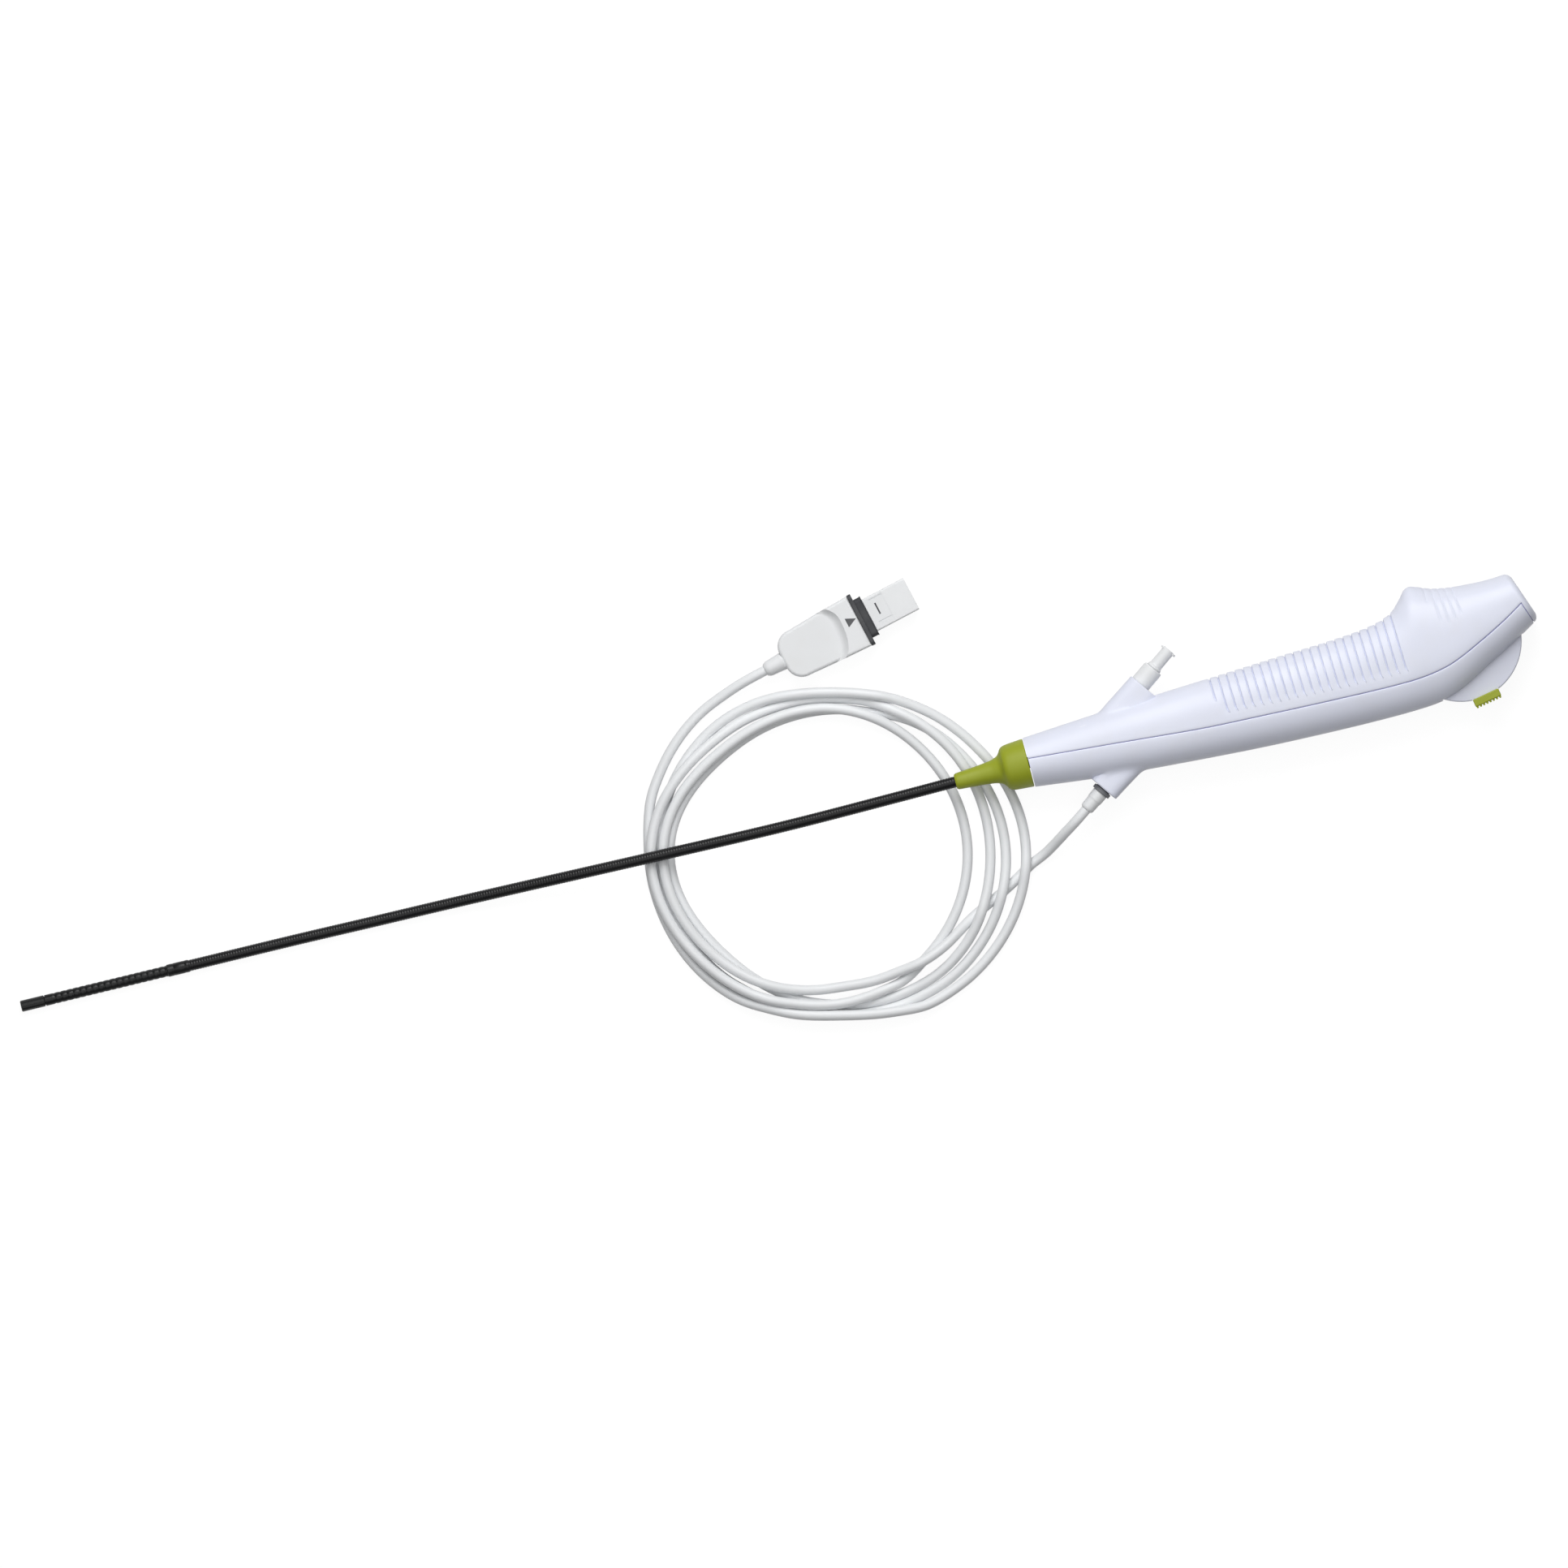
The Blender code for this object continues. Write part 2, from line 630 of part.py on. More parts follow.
def make_finger_shell(handle, material):
    shell = mesh_piece("front_shell", finger_body(), material, handle)
    port = branch_cone(PORT_X, PORT_Y, PORT_ANGLE, PORT_FACE_RADIUS, PORT_ROOT_RADIUS, PORT_ROOT_LENGTH)
    shaped(shell, mesh_piece("port_branch_form", port, None, handle), "UNION")
    shaped(shell, side_cutter("palm_side_cut", handle, SEAT_GAP / 2, -CUT_REACH), "DIFFERENCE")
    shaped(shell, mesh_piece("finger_cavity_cut", cavity_body(), None, handle), "DIFFERENCE")
    inner = HANDLE_HALF_WIDTH - SHELL_WALL
    wheel_face = WHEEL_THICKNESS / 2 + RUN_GAP
    drum_face = drum_top() + RUN_GAP
    root = inner + BOSS_ROOT
    bosses = together([
        moved(rod(-root, -wheel_face, BOSS_RADIUS, 16, "Z"), (WHEEL_X, WHEEL_Y, 0.0)),
        moved(rod(drum_face, root, BOSS_RADIUS, 16, "Z"), (WHEEL_X, WHEEL_Y, 0.0)),
        moved(rod(drum_groove() + STOP_HEIGHT / 2 + SEAT_GAP, root, BOSS_RADIUS, 12, "Z"),
              (STOP_X, WHEEL_Y, 0.0)),
    ])
    shaped(shell, mesh_piece("axle_boss_form", bosses, None, handle), "UNION")
    bore = AXLE_RADIUS + SEAT_GAP
    end = AXLE_LENGTH / 2 + SEAT_GAP
    holes = together([
        moved(rod(-end, end, bore, 16, "Z"), (WHEEL_X, WHEEL_Y, 0.0)),
        moved(rod(-PORT_ROOT_LENGTH, PAST, COLLAR_RADIUS + SEAT_GAP, 20), (PORT_X, PORT_Y, 0.0), PORT_ANGLE),
        rod(NOSE_X - PAST, NOSE_X + NOSE_WALL + PAST, ANCHOR_NECK_RADIUS + SEAT_GAP, 20),
    ])
    shaped(shell, mesh_piece("finger_bore_cut", holes, None, handle), "DIFFERENCE")


def make_palm_shell(handle, material):
    shell = mesh_piece("back_shell", palm_body(), material, handle)
    outlet = branch_cone(
        CABLE_X, CABLE_Y, CABLE_ANGLE, CABLE_FACE_RADIUS, CABLE_ROOT_RADIUS, CABLE_ROOT_LENGTH
    )
    shaped(shell, mesh_piece("cable_branch_form", outlet, None, handle), "UNION")
    shaped(shell, side_cutter("finger_side_cut", handle, -SEAT_GAP / 2, CUT_REACH), "DIFFERENCE")
    shaped(shell, mesh_piece("palm_cavity_cut", cavity_body(), None, handle), "DIFFERENCE")
    root = HANDLE_HALF_WIDTH - SHELL_WALL + BOSS_ROOT
    posts = [
        moved(rod(-root, BOARD_TOP - BOARD_THICKNESS - SEAT_GAP, BOARD_POST_RADIUS, 12, "Z"), at)
        for at in board_posts()
    ]
    shaped(shell, mesh_piece("board_post_form", together(posts), None, handle), "UNION")
    slot = WHEEL_THICKNESS / 2 + RUN_GAP
    holes = together([
        moved(rod(-slot, slot, WHEEL_RADIUS + RUN_GAP, 64, "Z"), (WHEEL_X, WHEEL_Y, 0.0)),
        moved(rod(-CABLE_ROOT_LENGTH, PAST, GLAND_STEM_RADIUS + SEAT_GAP, 20), (CABLE_X, CABLE_Y, 0.0),
              CABLE_ANGLE),
        rod(NOSE_X - PAST, NOSE_X + NOSE_WALL + PAST, ANCHOR_NECK_RADIUS + SEAT_GAP, 20),
    ])
    shaped(shell, mesh_piece("palm_bore_cut", holes, None, handle), "DIFFERENCE")


def make_bend_relief(handle, material):
    bore = TUBE_RADIUS + SEAT_GAP
    face = NOSE_X - SEAT_GAP
    profile = [(face, bore), (face, RELIEF_PROFILE[0][1] - SEAT_GAP)]
    profile += [(NOSE_X - ahead, radius) for ahead, radius in RELIEF_PROFILE]
    profile += [(NOSE_X - RELIEF_PROFILE[-1][0], bore)]
    mesh_piece("bend_relief", turned(profile, RELIEF_SIDES, closed=True), material, handle)


def make_tube_anchor(handle, material):
    neck_from = NOSE_X + SEAT_GAP
    shoulder = NOSE_X + NOSE_WALL + SEAT_GAP
    profile = [
        (neck_from, 0.0), (neck_from, ANCHOR_NECK_RADIUS), (shoulder, ANCHOR_NECK_RADIUS),
        (shoulder, ANCHOR_RADIUS), (shoulder + ANCHOR_LENGTH, ANCHOR_RADIUS),
        (shoulder + ANCHOR_LENGTH, 0.0),
    ]
    mesh_piece("tube_anchor", turned(profile, 20), material, handle)


def anchor_back():
    return NOSE_X + NOSE_WALL + SEAT_GAP + ANCHOR_LENGTH + SEAT_GAP


# Steering

def drum_bottom():
    return WHEEL_THICKNESS / 2 + SEAT_GAP


def drum_groove():
    """The level of the wires."""
    return drum_bottom() + DRUM_FLANGE_THICKNESS + WIRE_RADIUS + SEAT_GAP


def drum_top():
    return 2 * drum_groove() - drum_bottom()


def wheel_outline():
    """A fan with a round hub, and a flat pocket in its rim for the pad."""
    half_pocket = math.degrees(math.asin((PAD_LENGTH / 2 + SEAT_GAP) / WHEEL_RADIUS))
    seat = WHEEL_RADIUS - PAD_SEAT_DEPTH
    outline = arc(0.0, 0.0, WHEEL_RADIUS, WHEEL_FROM_ANGLE, PAD_ANGLE - half_pocket, 14)
    outline += [along(0.0, 0.0, PAD_ANGLE, seat, -PAD_LENGTH / 2 - SEAT_GAP)]
    outline += [along(0.0, 0.0, PAD_ANGLE, seat, PAD_LENGTH / 2 + SEAT_GAP)]
    outline += arc(0.0, 0.0, WHEEL_RADIUS, PAD_ANGLE + half_pocket, WHEEL_TO_ANGLE, 18)
    outline += arc(0.0, 0.0, WHEEL_HUB_RADIUS, WHEEL_TO_ANGLE + 60.0, WHEEL_FROM_ANGLE + 300.0, 8)
    return outline


def make_control_wheel(lever, material):
    half = WHEEL_THICKNESS / 2
    wheel = mesh_piece("control_wheel", extruded(wheel_outline(), -half, half), material, lever)
    bore = rod(-half - PAST, half + PAST, AXLE_RADIUS + SEAT_GAP, 20, "Z")
    bevelled(wheel, WHEEL_EDGE, 1)
    shaped(wheel, mesh_piece("wheel_bore_cut", bore, None, lever), "DIFFERENCE")


def make_thumb_pad(lever, material):
    low = WHEEL_RADIUS - PAD_SEAT_DEPTH + SEAT_GAP
    high = WHEEL_RADIUS + PAD_HEIGHT
    pitch = PAD_LENGTH / TOOTH_COUNT
    left = -PAD_LENGTH / 2
    top = []
    for i in range(TOOTH_COUNT):
        top += [(left + (i + share) * pitch, high + rise) for share, rise in TOOTH_SHARES]
    outline = [(left, low), (left, high)] + top + [(-left, high), (-left, low)]
    outline = [along(0.0, 0.0, PAD_ANGLE, radial, aside) for aside, radial in outline]
    mesh_piece("thumb_pad", extruded(outline, -PAD_WIDTH / 2, PAD_WIDTH / 2), material, lever)


def make_wire_drum(lever, material):
    bore = AXLE_RADIUS + SEAT_GAP
    rim = DRUM_WIRE_RADIUS + DRUM_FLANGE
    root = DRUM_WIRE_RADIUS - WIRE_RADIUS - SEAT_GAP
    low, high = drum_bottom(), drum_top()
    profile = [
        (low, bore), (low, rim), (low + DRUM_FLANGE_THICKNESS, rim), (low + DRUM_FLANGE_THICKNESS, root),
        (high - DRUM_FLANGE_THICKNESS, root), (high - DRUM_FLANGE_THICKNESS, rim), (high, rim),
        (high, bore),
    ]
    mesh_piece("wire_drum", turned(profile, 24, "Z", closed=True), material, lever)


def make_wheel_axle(handle, material):
    half = AXLE_LENGTH / 2
    chamfer = 0.4
    profile = [
        (-half, 0.0), (-half, AXLE_RADIUS - chamfer), (-half + chamfer, AXLE_RADIUS),
        (half - chamfer, AXLE_RADIUS), (half, AXLE_RADIUS - chamfer), (half, 0.0),
    ]
    mesh_piece("wheel_axle", turned(profile, 20, "Z"), material, handle, (WHEEL_X, WHEEL_Y, 0.0))


def make_pull_wire(name, handle, side, material):
    wire = frame(name + "_axis", handle, (WHEEL_X, WHEEL_Y + side * DRUM_WIRE_RADIUS, drum_groove()))
    mesh_piece(name, rod(STOP_X - WHEEL_X, 0.0, WIRE_RADIUS, 8), material, wire)


def make_stop_block(handle, material):
    half_y = DRUM_WIRE_RADIUS + STOP_MARGIN
    level = drum_groove()
    low = (STOP_X - STOP_LENGTH / 2, WHEEL_Y - half_y, level - STOP_HEIGHT / 2)
    high = (STOP_X + STOP_LENGTH / 2, WHEEL_Y + half_y, level + STOP_HEIGHT / 2)
    stop = mesh_piece("wire_stop_block", block(low, high), material, handle)
    holes = [
        moved(rod(-STOP_LENGTH, STOP_LENGTH, WIRE_HOLE_RADIUS, 10),
              (STOP_X, WHEEL_Y + side * DRUM_WIRE_RADIUS, level))
        for side in (-1, 1)
    ]
    shaped(stop, mesh_piece("wire_hole_cut", together(holes), None, handle), "DIFFERENCE")


def make_conduit(name, handle, side, bends, end, material):
    x = STOP_X - STOP_LENGTH / 2 - SEAT_GAP
    start = (x, WHEEL_Y + side * DRUM_WIRE_RADIUS, drum_groove())
    second = (x - CONDUIT_STRAIGHT, *start[1:])
    route = [start, second, *bends, (anchor_back() + ANCHOR_RUN, *end), (anchor_back(), *end)]
    tube_piece(name, smooth_route(route, CONDUIT_STEP), CONDUIT_RADIUS, material, handle, 1)


# Working channel and electronics

def make_port(handle, white, soft, plastic):
    port = frame("port_axis", handle, (PORT_X, PORT_Y, 0.0), PORT_ANGLE)
    bore = LUER_STEM_RADIUS + SEAT_GAP
    chamfer = 0.7
    profile = [
        (-COLLAR_DEPTH, bore), (-COLLAR_DEPTH, COLLAR_RADIUS), (COLLAR_LENGTH - chamfer, COLLAR_RADIUS),
        (COLLAR_LENGTH, COLLAR_RADIUS - chamfer), (COLLAR_LENGTH, bore),
    ]
    mesh_piece("port_collar", turned(profile, 24, closed=True), soft, port)
    luer = mesh_piece("luer_port", rod(-COLLAR_DEPTH, LUER_LENGTH, LUER_STEM_RADIUS, 20), white, port)
    lug = rounded_bar(LUER_LENGTH - LUG_THICKNESS - 0.2, LUER_LENGTH - 0.2, LUG_SPAN, LUG_WIDTH, 1.2)
    shaped(luer, mesh_piece("luer_lug_form", lug, None, port), "UNION")
    hole = rod(-COLLAR_DEPTH - PAST, LUER_LENGTH + PAST, LUER_BORE, 16)
    shaped(luer, mesh_piece("luer_bore_cut", hole, None, port), "DIFFERENCE")
    top = -COLLAR_DEPTH - SEAT_GAP
    low = top - BRANCH_LENGTH
    profile = [
        (top, 0.0), (top, COLLAR_RADIUS), (top - BRANCH_LENGTH / 2, COLLAR_RADIUS - 0.3),
        (low, CHANNEL_RADIUS + 0.8), (low, 0.0),
    ]
    mesh_piece("channel_branch", turned(profile, 16), plastic, port)


def make_channel_tube(handle, material):
    low = -COLLAR_DEPTH - BRANCH_LENGTH - 2 * SEAT_GAP
    start = along(PORT_X, PORT_Y, PORT_ANGLE, low)
    second = along(PORT_X, PORT_Y, PORT_ANGLE, low - CHANNEL_STRAIGHT)
    route = [(*start, 0.0), (*second, 0.0), CHANNEL_BEND, (anchor_back() + ANCHOR_RUN, *CHANNEL_END),
             (anchor_back(), *CHANNEL_END)]
    tube_piece("channel_tube", smooth_route(route, CHANNEL_STEP), CHANNEL_RADIUS, material, handle, 1)


def board_posts():
    y = BOARD_MIDDLE_Y - BOARD_WIDTH / 2 + BOARD_POST_RADIUS
    ends = (BOARD_FROM_X + BOARD_POST_MARGIN, BOARD_FROM_X + BOARD_LENGTH - BOARD_POST_MARGIN)
    return [(x, y, 0.0) for x in ends]


def make_circuit_board(handle, material):
    half = BOARD_WIDTH / 2
    low = (BOARD_FROM_X, BOARD_MIDDLE_Y - half, BOARD_TOP - BOARD_THICKNESS)
    high = (BOARD_FROM_X + BOARD_LENGTH, BOARD_MIDDLE_Y + half, BOARD_TOP)
    board = mesh_piece("circuit_board", block(low, high), material, handle)
    chips = []
    for from_end, size in CHIPS:
        x = BOARD_FROM_X + from_end
        chips.append(block(
            (x - size / 2, BOARD_MIDDLE_Y - size / 2, BOARD_TOP - BOARD_THICKNESS / 2),
            (x + size / 2, BOARD_MIDDLE_Y + size / 2, BOARD_TOP + CHIP_HEIGHT),
        ))
    shaped(board, mesh_piece("chip_form", together(chips), None, handle), "UNION")


def make_leads(handle, material):
    level = BOARD_TOP - BOARD_THICKNESS / 2
    start = (BOARD_FROM_X - SEAT_GAP, BOARD_MIDDLE_Y + BOARD_WIDTH / 4, level)
    route = [
        start, (start[0] - LEAD_STRAIGHT, start[1], level), *CAMERA_LEAD_ROUTE,
        (anchor_back() + ANCHOR_RUN, *CAMERA_LEAD_END), (anchor_back(), *CAMERA_LEAD_END),
    ]
    tube_piece("camera_lead", smooth_route(route, CAMERA_LEAD_STEP), LEAD_RADIUS, material, handle, 1)
    inner = along(CABLE_X, CABLE_Y, CABLE_ANGLE, -GLAND_STEM_LENGTH - SEAT_GAP)
    second = along(CABLE_X, CABLE_Y, CABLE_ANGLE, -GLAND_STEM_LENGTH - LEAD_STRAIGHT)
    end = (BOARD_FROM_X - SEAT_GAP, BOARD_MIDDLE_Y - BOARD_WIDTH / 4, level)
    route = [(*inner, 0.0), (*second, 0.0), BOARD_LEAD_BEND, (end[0] - LEAD_STRAIGHT, end[1], level), end]
    tube_piece("board_lead", smooth_route(route, BOARD_LEAD_STEP), BOARD_LEAD_RADIUS, material, handle, 1)


def make_cable_exit(handle, dark, white):
    exit_frame = frame("cable_exit_axis", handle, (CABLE_X, CABLE_Y, 0.0), CABLE_ANGLE)
    ring_end = SEAT_GAP + GLAND_THICKNESS
    profile = [
        (-GLAND_STEM_LENGTH, 0.0), (-GLAND_STEM_LENGTH, GLAND_STEM_RADIUS), (SEAT_GAP, GLAND_STEM_RADIUS),
        (SEAT_GAP, GLAND_RADIUS), (ring_end - RIM_CHAMFER, GLAND_RADIUS),
        (ring_end, GLAND_RADIUS - RIM_CHAMFER),
        (ring_end, 0.0),
    ]
    mesh_piece("cable_gland", turned(profile, 24), dark, exit_frame)
    start = ring_end + SEAT_GAP
    end = start + BOOT_LENGTH
    profile = [
        (start, 0.0), (start, BOOT_ROOT_RADIUS), (end - BOOT_RIM_LENGTH, BOOT_TIP_RADIUS),
        (end, BOOT_TIP_RADIUS - RIM_CHAMFER), (end, 0.0),
    ]
    mesh_piece("cable_boot", turned(profile, 20), white, exit_frame)


# Insertion tube and bending section

def shaft_point(ahead):
    """A point on the straight end of the shaft, measured from the sleeve's far face."""
    return (*along(SHAFT_END_X, SHAFT_END_Y, SHAFT_END_ANGLE, ahead), SHAFT_REST_Z)


def lowered(route, rest):
    """A route from the handle's axis down to a resting height."""
    return [(x, y, rest + (HANDLE_HALF_WIDTH - rest) * share) for x, y, share in route]


def make_insertion_tube(root, material):
    start = (NOSE_X, 0.0, HANDLE_HALF_WIDTH)
    end = shaft_point(-SLEEVE_LENGTH - SEAT_GAP)
    near = shaft_point(-SLEEVE_LENGTH - TUBE_STRAIGHT)
    route = smooth_route([start, *lowered(TUBE_ROUTE, SHAFT_REST_Z), near, end], TUBE_STEP)
    tube_piece("insertion_tube", route, TUBE_RADIUS, material, root, 3)


def hinge_place(index):
    return FIRST_HINGE + index * LINK_PITCH


def socket_cut(at):
    """The round sockets at one hinge, cut through both walls."""
    reach = LINK_RADIUS + PAST
    return moved(rod(-reach, reach, LUG_RADIUS + FINE_GAP, LUG_SIDES, "Z"), (at, 0.0, 0.0))


def lug_side_cut():
    """All that lies behind a link's body, save its two round lugs."""
    reach = LINK_RADIUS + PAST
    half = math.degrees(math.acos(LINK_OPEN / LUG_RADIUS))
    rim = arc(0.0, 0.0, LUG_RADIUS, half, 360.0 - half, LUG_SIDES - 2)
    outline = [(LINK_OPEN, reach)] + rim + [(LINK_OPEN, -reach), (-reach, -reach), (-reach, reach)]
    return extruded(outline, -reach, reach)


def link_tube(start, end, outer, inner):
    profile = [(start, inner), (start, outer), (end, outer), (end, inner)]
    return turned(profile, LINK_SIDES, closed=True)


def make_sleeve(shaft, material):
    first = hinge_place(0)
    end = first - LINK_OPEN / 4
    edge = SLEEVE_RADIUS - SOFT_EDGE
    profile = [
        (end, LINK_BORE), (end, LINK_RADIUS), (-SEAT_GAP, LINK_RADIUS), (-SEAT_GAP, edge),
        (-SEAT_GAP - SOFT_EDGE, SLEEVE_RADIUS), (-SLEEVE_LENGTH + SOFT_EDGE, SLEEVE_RADIUS),
        (-SLEEVE_LENGTH, edge), (-SLEEVE_LENGTH, 0.0), (-SLEEVE_HOLLOW, 0.0), (-SLEEVE_HOLLOW, LINK_BORE),
    ]
    sleeve = mesh_piece("joint_sleeve", turned(profile, 16, closed=True), material, shaft)
    shaped(sleeve, mesh_piece("sleeve_socket_cut", socket_cut(first), None, shaft), "DIFFERENCE")


def make_links(shaft, material):
    end = LINK_PITCH - LINK_OPEN / 4
    for i in range(LINK_COUNT):
        name = f"vertebra_{i + 1:02d}"
        hinge = frame(name + "_hinge", shaft, (hinge_place(i), 0.0, 0.0))
        link = mesh_piece(name, link_tube(-LUG_REACH, end, LINK_RADIUS, LINK_BORE), material, hinge)
        shaped(link, mesh_piece(name + "_side_cut", lug_side_cut(), None, hinge), "DIFFERENCE")
        shaped(link, mesh_piece(name + "_socket_cut", socket_cut(LINK_PITCH), None, hinge), "DIFFERENCE")


def make_cover(shaft, material):
    end = hinge_place(LINK_COUNT) + TIP_NECK - SEAT_GAP
    profile = [
        (0.0, COVER_RADIUS - COVER_WALL), (0.0, COVER_RADIUS), (end, COVER_RADIUS),
        (end, COVER_RADIUS - COVER_WALL),
    ]
    mesh_piece("bending_cover", turned(profile, 16, closed=True), material, shaft)


def make_tip(shaft, black, glass, lamp):
    hinge = frame("tip_hinge", shaft, (hinge_place(LINK_COUNT), 0.0, 0.0))
    head, end = TIP_NECK, TIP_NECK + TIP_LENGTH
    profile = [
        (head, 0.0), (head, LINK_BORE), (-LUG_REACH, LINK_BORE), (-LUG_REACH, LINK_RADIUS),
        (head, LINK_RADIUS), (head, TUBE_RADIUS - SOFT_EDGE), (head + SOFT_EDGE, TUBE_RADIUS),
        (end - TIP_ROUNDING, TUBE_RADIUS), (end, TUBE_RADIUS - TIP_ROUNDING), (end, 0.0),
    ]
    housing = mesh_piece("tip_housing", turned(profile, 16), black, hinge)
    shaped(housing, mesh_piece("tip_side_cut", lug_side_cut(), None, hinge), "DIFFERENCE")
    offset = TUBE_RADIUS - TIP_ROUNDING - CHANNEL_MOUTH_RADIUS - SEAT_GAP
    lens_at = (0.0, -offset)
    led_at = [(side * LED_AT[0], LED_AT[1]) for side in (-1, 1)]
    pockets = [moved(rod(head - PAST, end + PAST, CHANNEL_MOUTH_RADIUS, 12), (0.0, 0.0, offset))]
    pockets += [moved(rod(end - TIP_POCKET, end + PAST, LENS_RADIUS + FINE_GAP, 12), (0.0, *lens_at))]
    for at in led_at:
        pockets.append(moved(rod(end - TIP_POCKET, end + PAST, LED_RADIUS + FINE_GAP, 8), (0.0, *at)))
    shaped(housing, mesh_piece("tip_pocket_cut", together(pockets), None, hinge), "DIFFERENCE")
    seat = end - TIP_POCKET + FINE_GAP
    mesh_piece("camera_lens", rod(seat, end - RECESS, LENS_RADIUS, 12), glass, hinge, (0.0, *lens_at))
    for name, at in zip(("led_left", "led_right"), led_at):
        mesh_piece(name, rod(seat, end - RECESS, LED_RADIUS, 8), lamp, hinge, (0.0, *at))


# Cable and plug

def make_cable(root, material):
    exit_end = along(CABLE_X, CABLE_Y, CABLE_ANGLE, GLAND_THICKNESS + BOOT_LENGTH + 3 * SEAT_GAP)
    lead = smooth_route([(*exit_end, HANDLE_HALF_WIDTH), *lowered(LEAD_ROUTE, CORD_RADIUS)], CORD_STEP / 2)
    tube_piece("cable_lead", lead, CORD_RADIUS, material, root)
    back = -FLANGE_THICKNESS / 2 - SEAT_GAP - PLUG_BODY_LENGTH - PLUG_BOOT_LENGTH - 2 * SEAT_GAP
    end = (*along(PLUG_X, PLUG_Y, PLUG_ANGLE, back), PLUG_HALF_HEIGHT)
    near = (*along(PLUG_X, PLUG_Y, PLUG_ANGLE, back - TAIL_STRAIGHT), PLUG_HALF_HEIGHT - TAIL_SAG)
    tube_piece("cable_tail", smooth_route([*TAIL_ROUTE, near, end], CORD_STEP), CORD_RADIUS, material, root)


def make_coil(root, material):
    """The loose turns of the cable as one ring, lower at its edges."""
    levels = [(0.0, 0.0), (1.0, 0.0), (1.0, COIL_EDGE_HEIGHT), (0.78, COIL_HEIGHT), (0.22, COIL_HEIGHT),
              (0.0, COIL_EDGE_HEIGHT)]
    rings = []
    for i in range(COIL_SIDES):
        angle = math.tau * i / COIL_SIDES
        inner, outer = (
            Vector((x + rx * math.cos(angle), y + ry * math.sin(angle)))
            for x, y, rx, ry in (COIL_INSIDE, COIL_OUTSIDE)
        )
        rings.append([(*inner.lerp(outer, share), height) for share, height in levels])
    shape = bmesh.new()
    grid = [[shape.verts.new(point) for point in ring] for ring in rings]
    for ring, following in zip(grid, grid[1:] + grid[:1]):
        for i in range(len(levels)):
            j = (i + 1) % len(levels)
            shape.faces.new((ring[i], ring[j], following[j], following[i]))
    mesh_piece("cable_coil", shape, material, root)


def plug_outline():
    """The grip seen from above: a gentle taper, round back corners and a narrow neck."""
    front = -FLANGE_THICKNESS / 2 - SEAT_GAP
    back = front - PLUG_BODY_LENGTH
    half_front, half_back, neck = PLUG_BODY_WIDTH / 2, PLUG_TAIL_WIDTH / 2, PLUG_NECK_WIDTH / 2
    side = [(front, half_front)]
    side += arc(back + PLUG_CORNER, half_back - PLUG_CORNER + PLUG_SHOULDER, PLUG_CORNER, 92.0, 165.0, 6)
    side += [(back + 0.1, neck + PLUG_NECK_FLARE), (back, neck)]
    return side + [(x, -y) for x, y in reversed(side)]


def scoop_cut(plug):
    """The finger recess in the top, with a bowed step towards the flange."""
    depth = PLUG_HALF_HEIGHT - SCOOP_DEPTH
    reach = PLUG_BODY_WIDTH / 2 + PAST
    bow = [
        (-SCOOP_FROM - SCOOP_BOW * (y / reach) ** 2, y)
        for y in (-reach + 2 * reach * i / 10 for i in range(11))
    ]
    back = -PLUG_BODY_LENGTH - FLANGE_THICKNESS - PAST
    outline = [*bow, (back, reach), (back, -reach)]
    return mesh_piece("scoop_cut", extruded(outline, depth, PLUG_HALF_HEIGHT + PAST), None, plug)


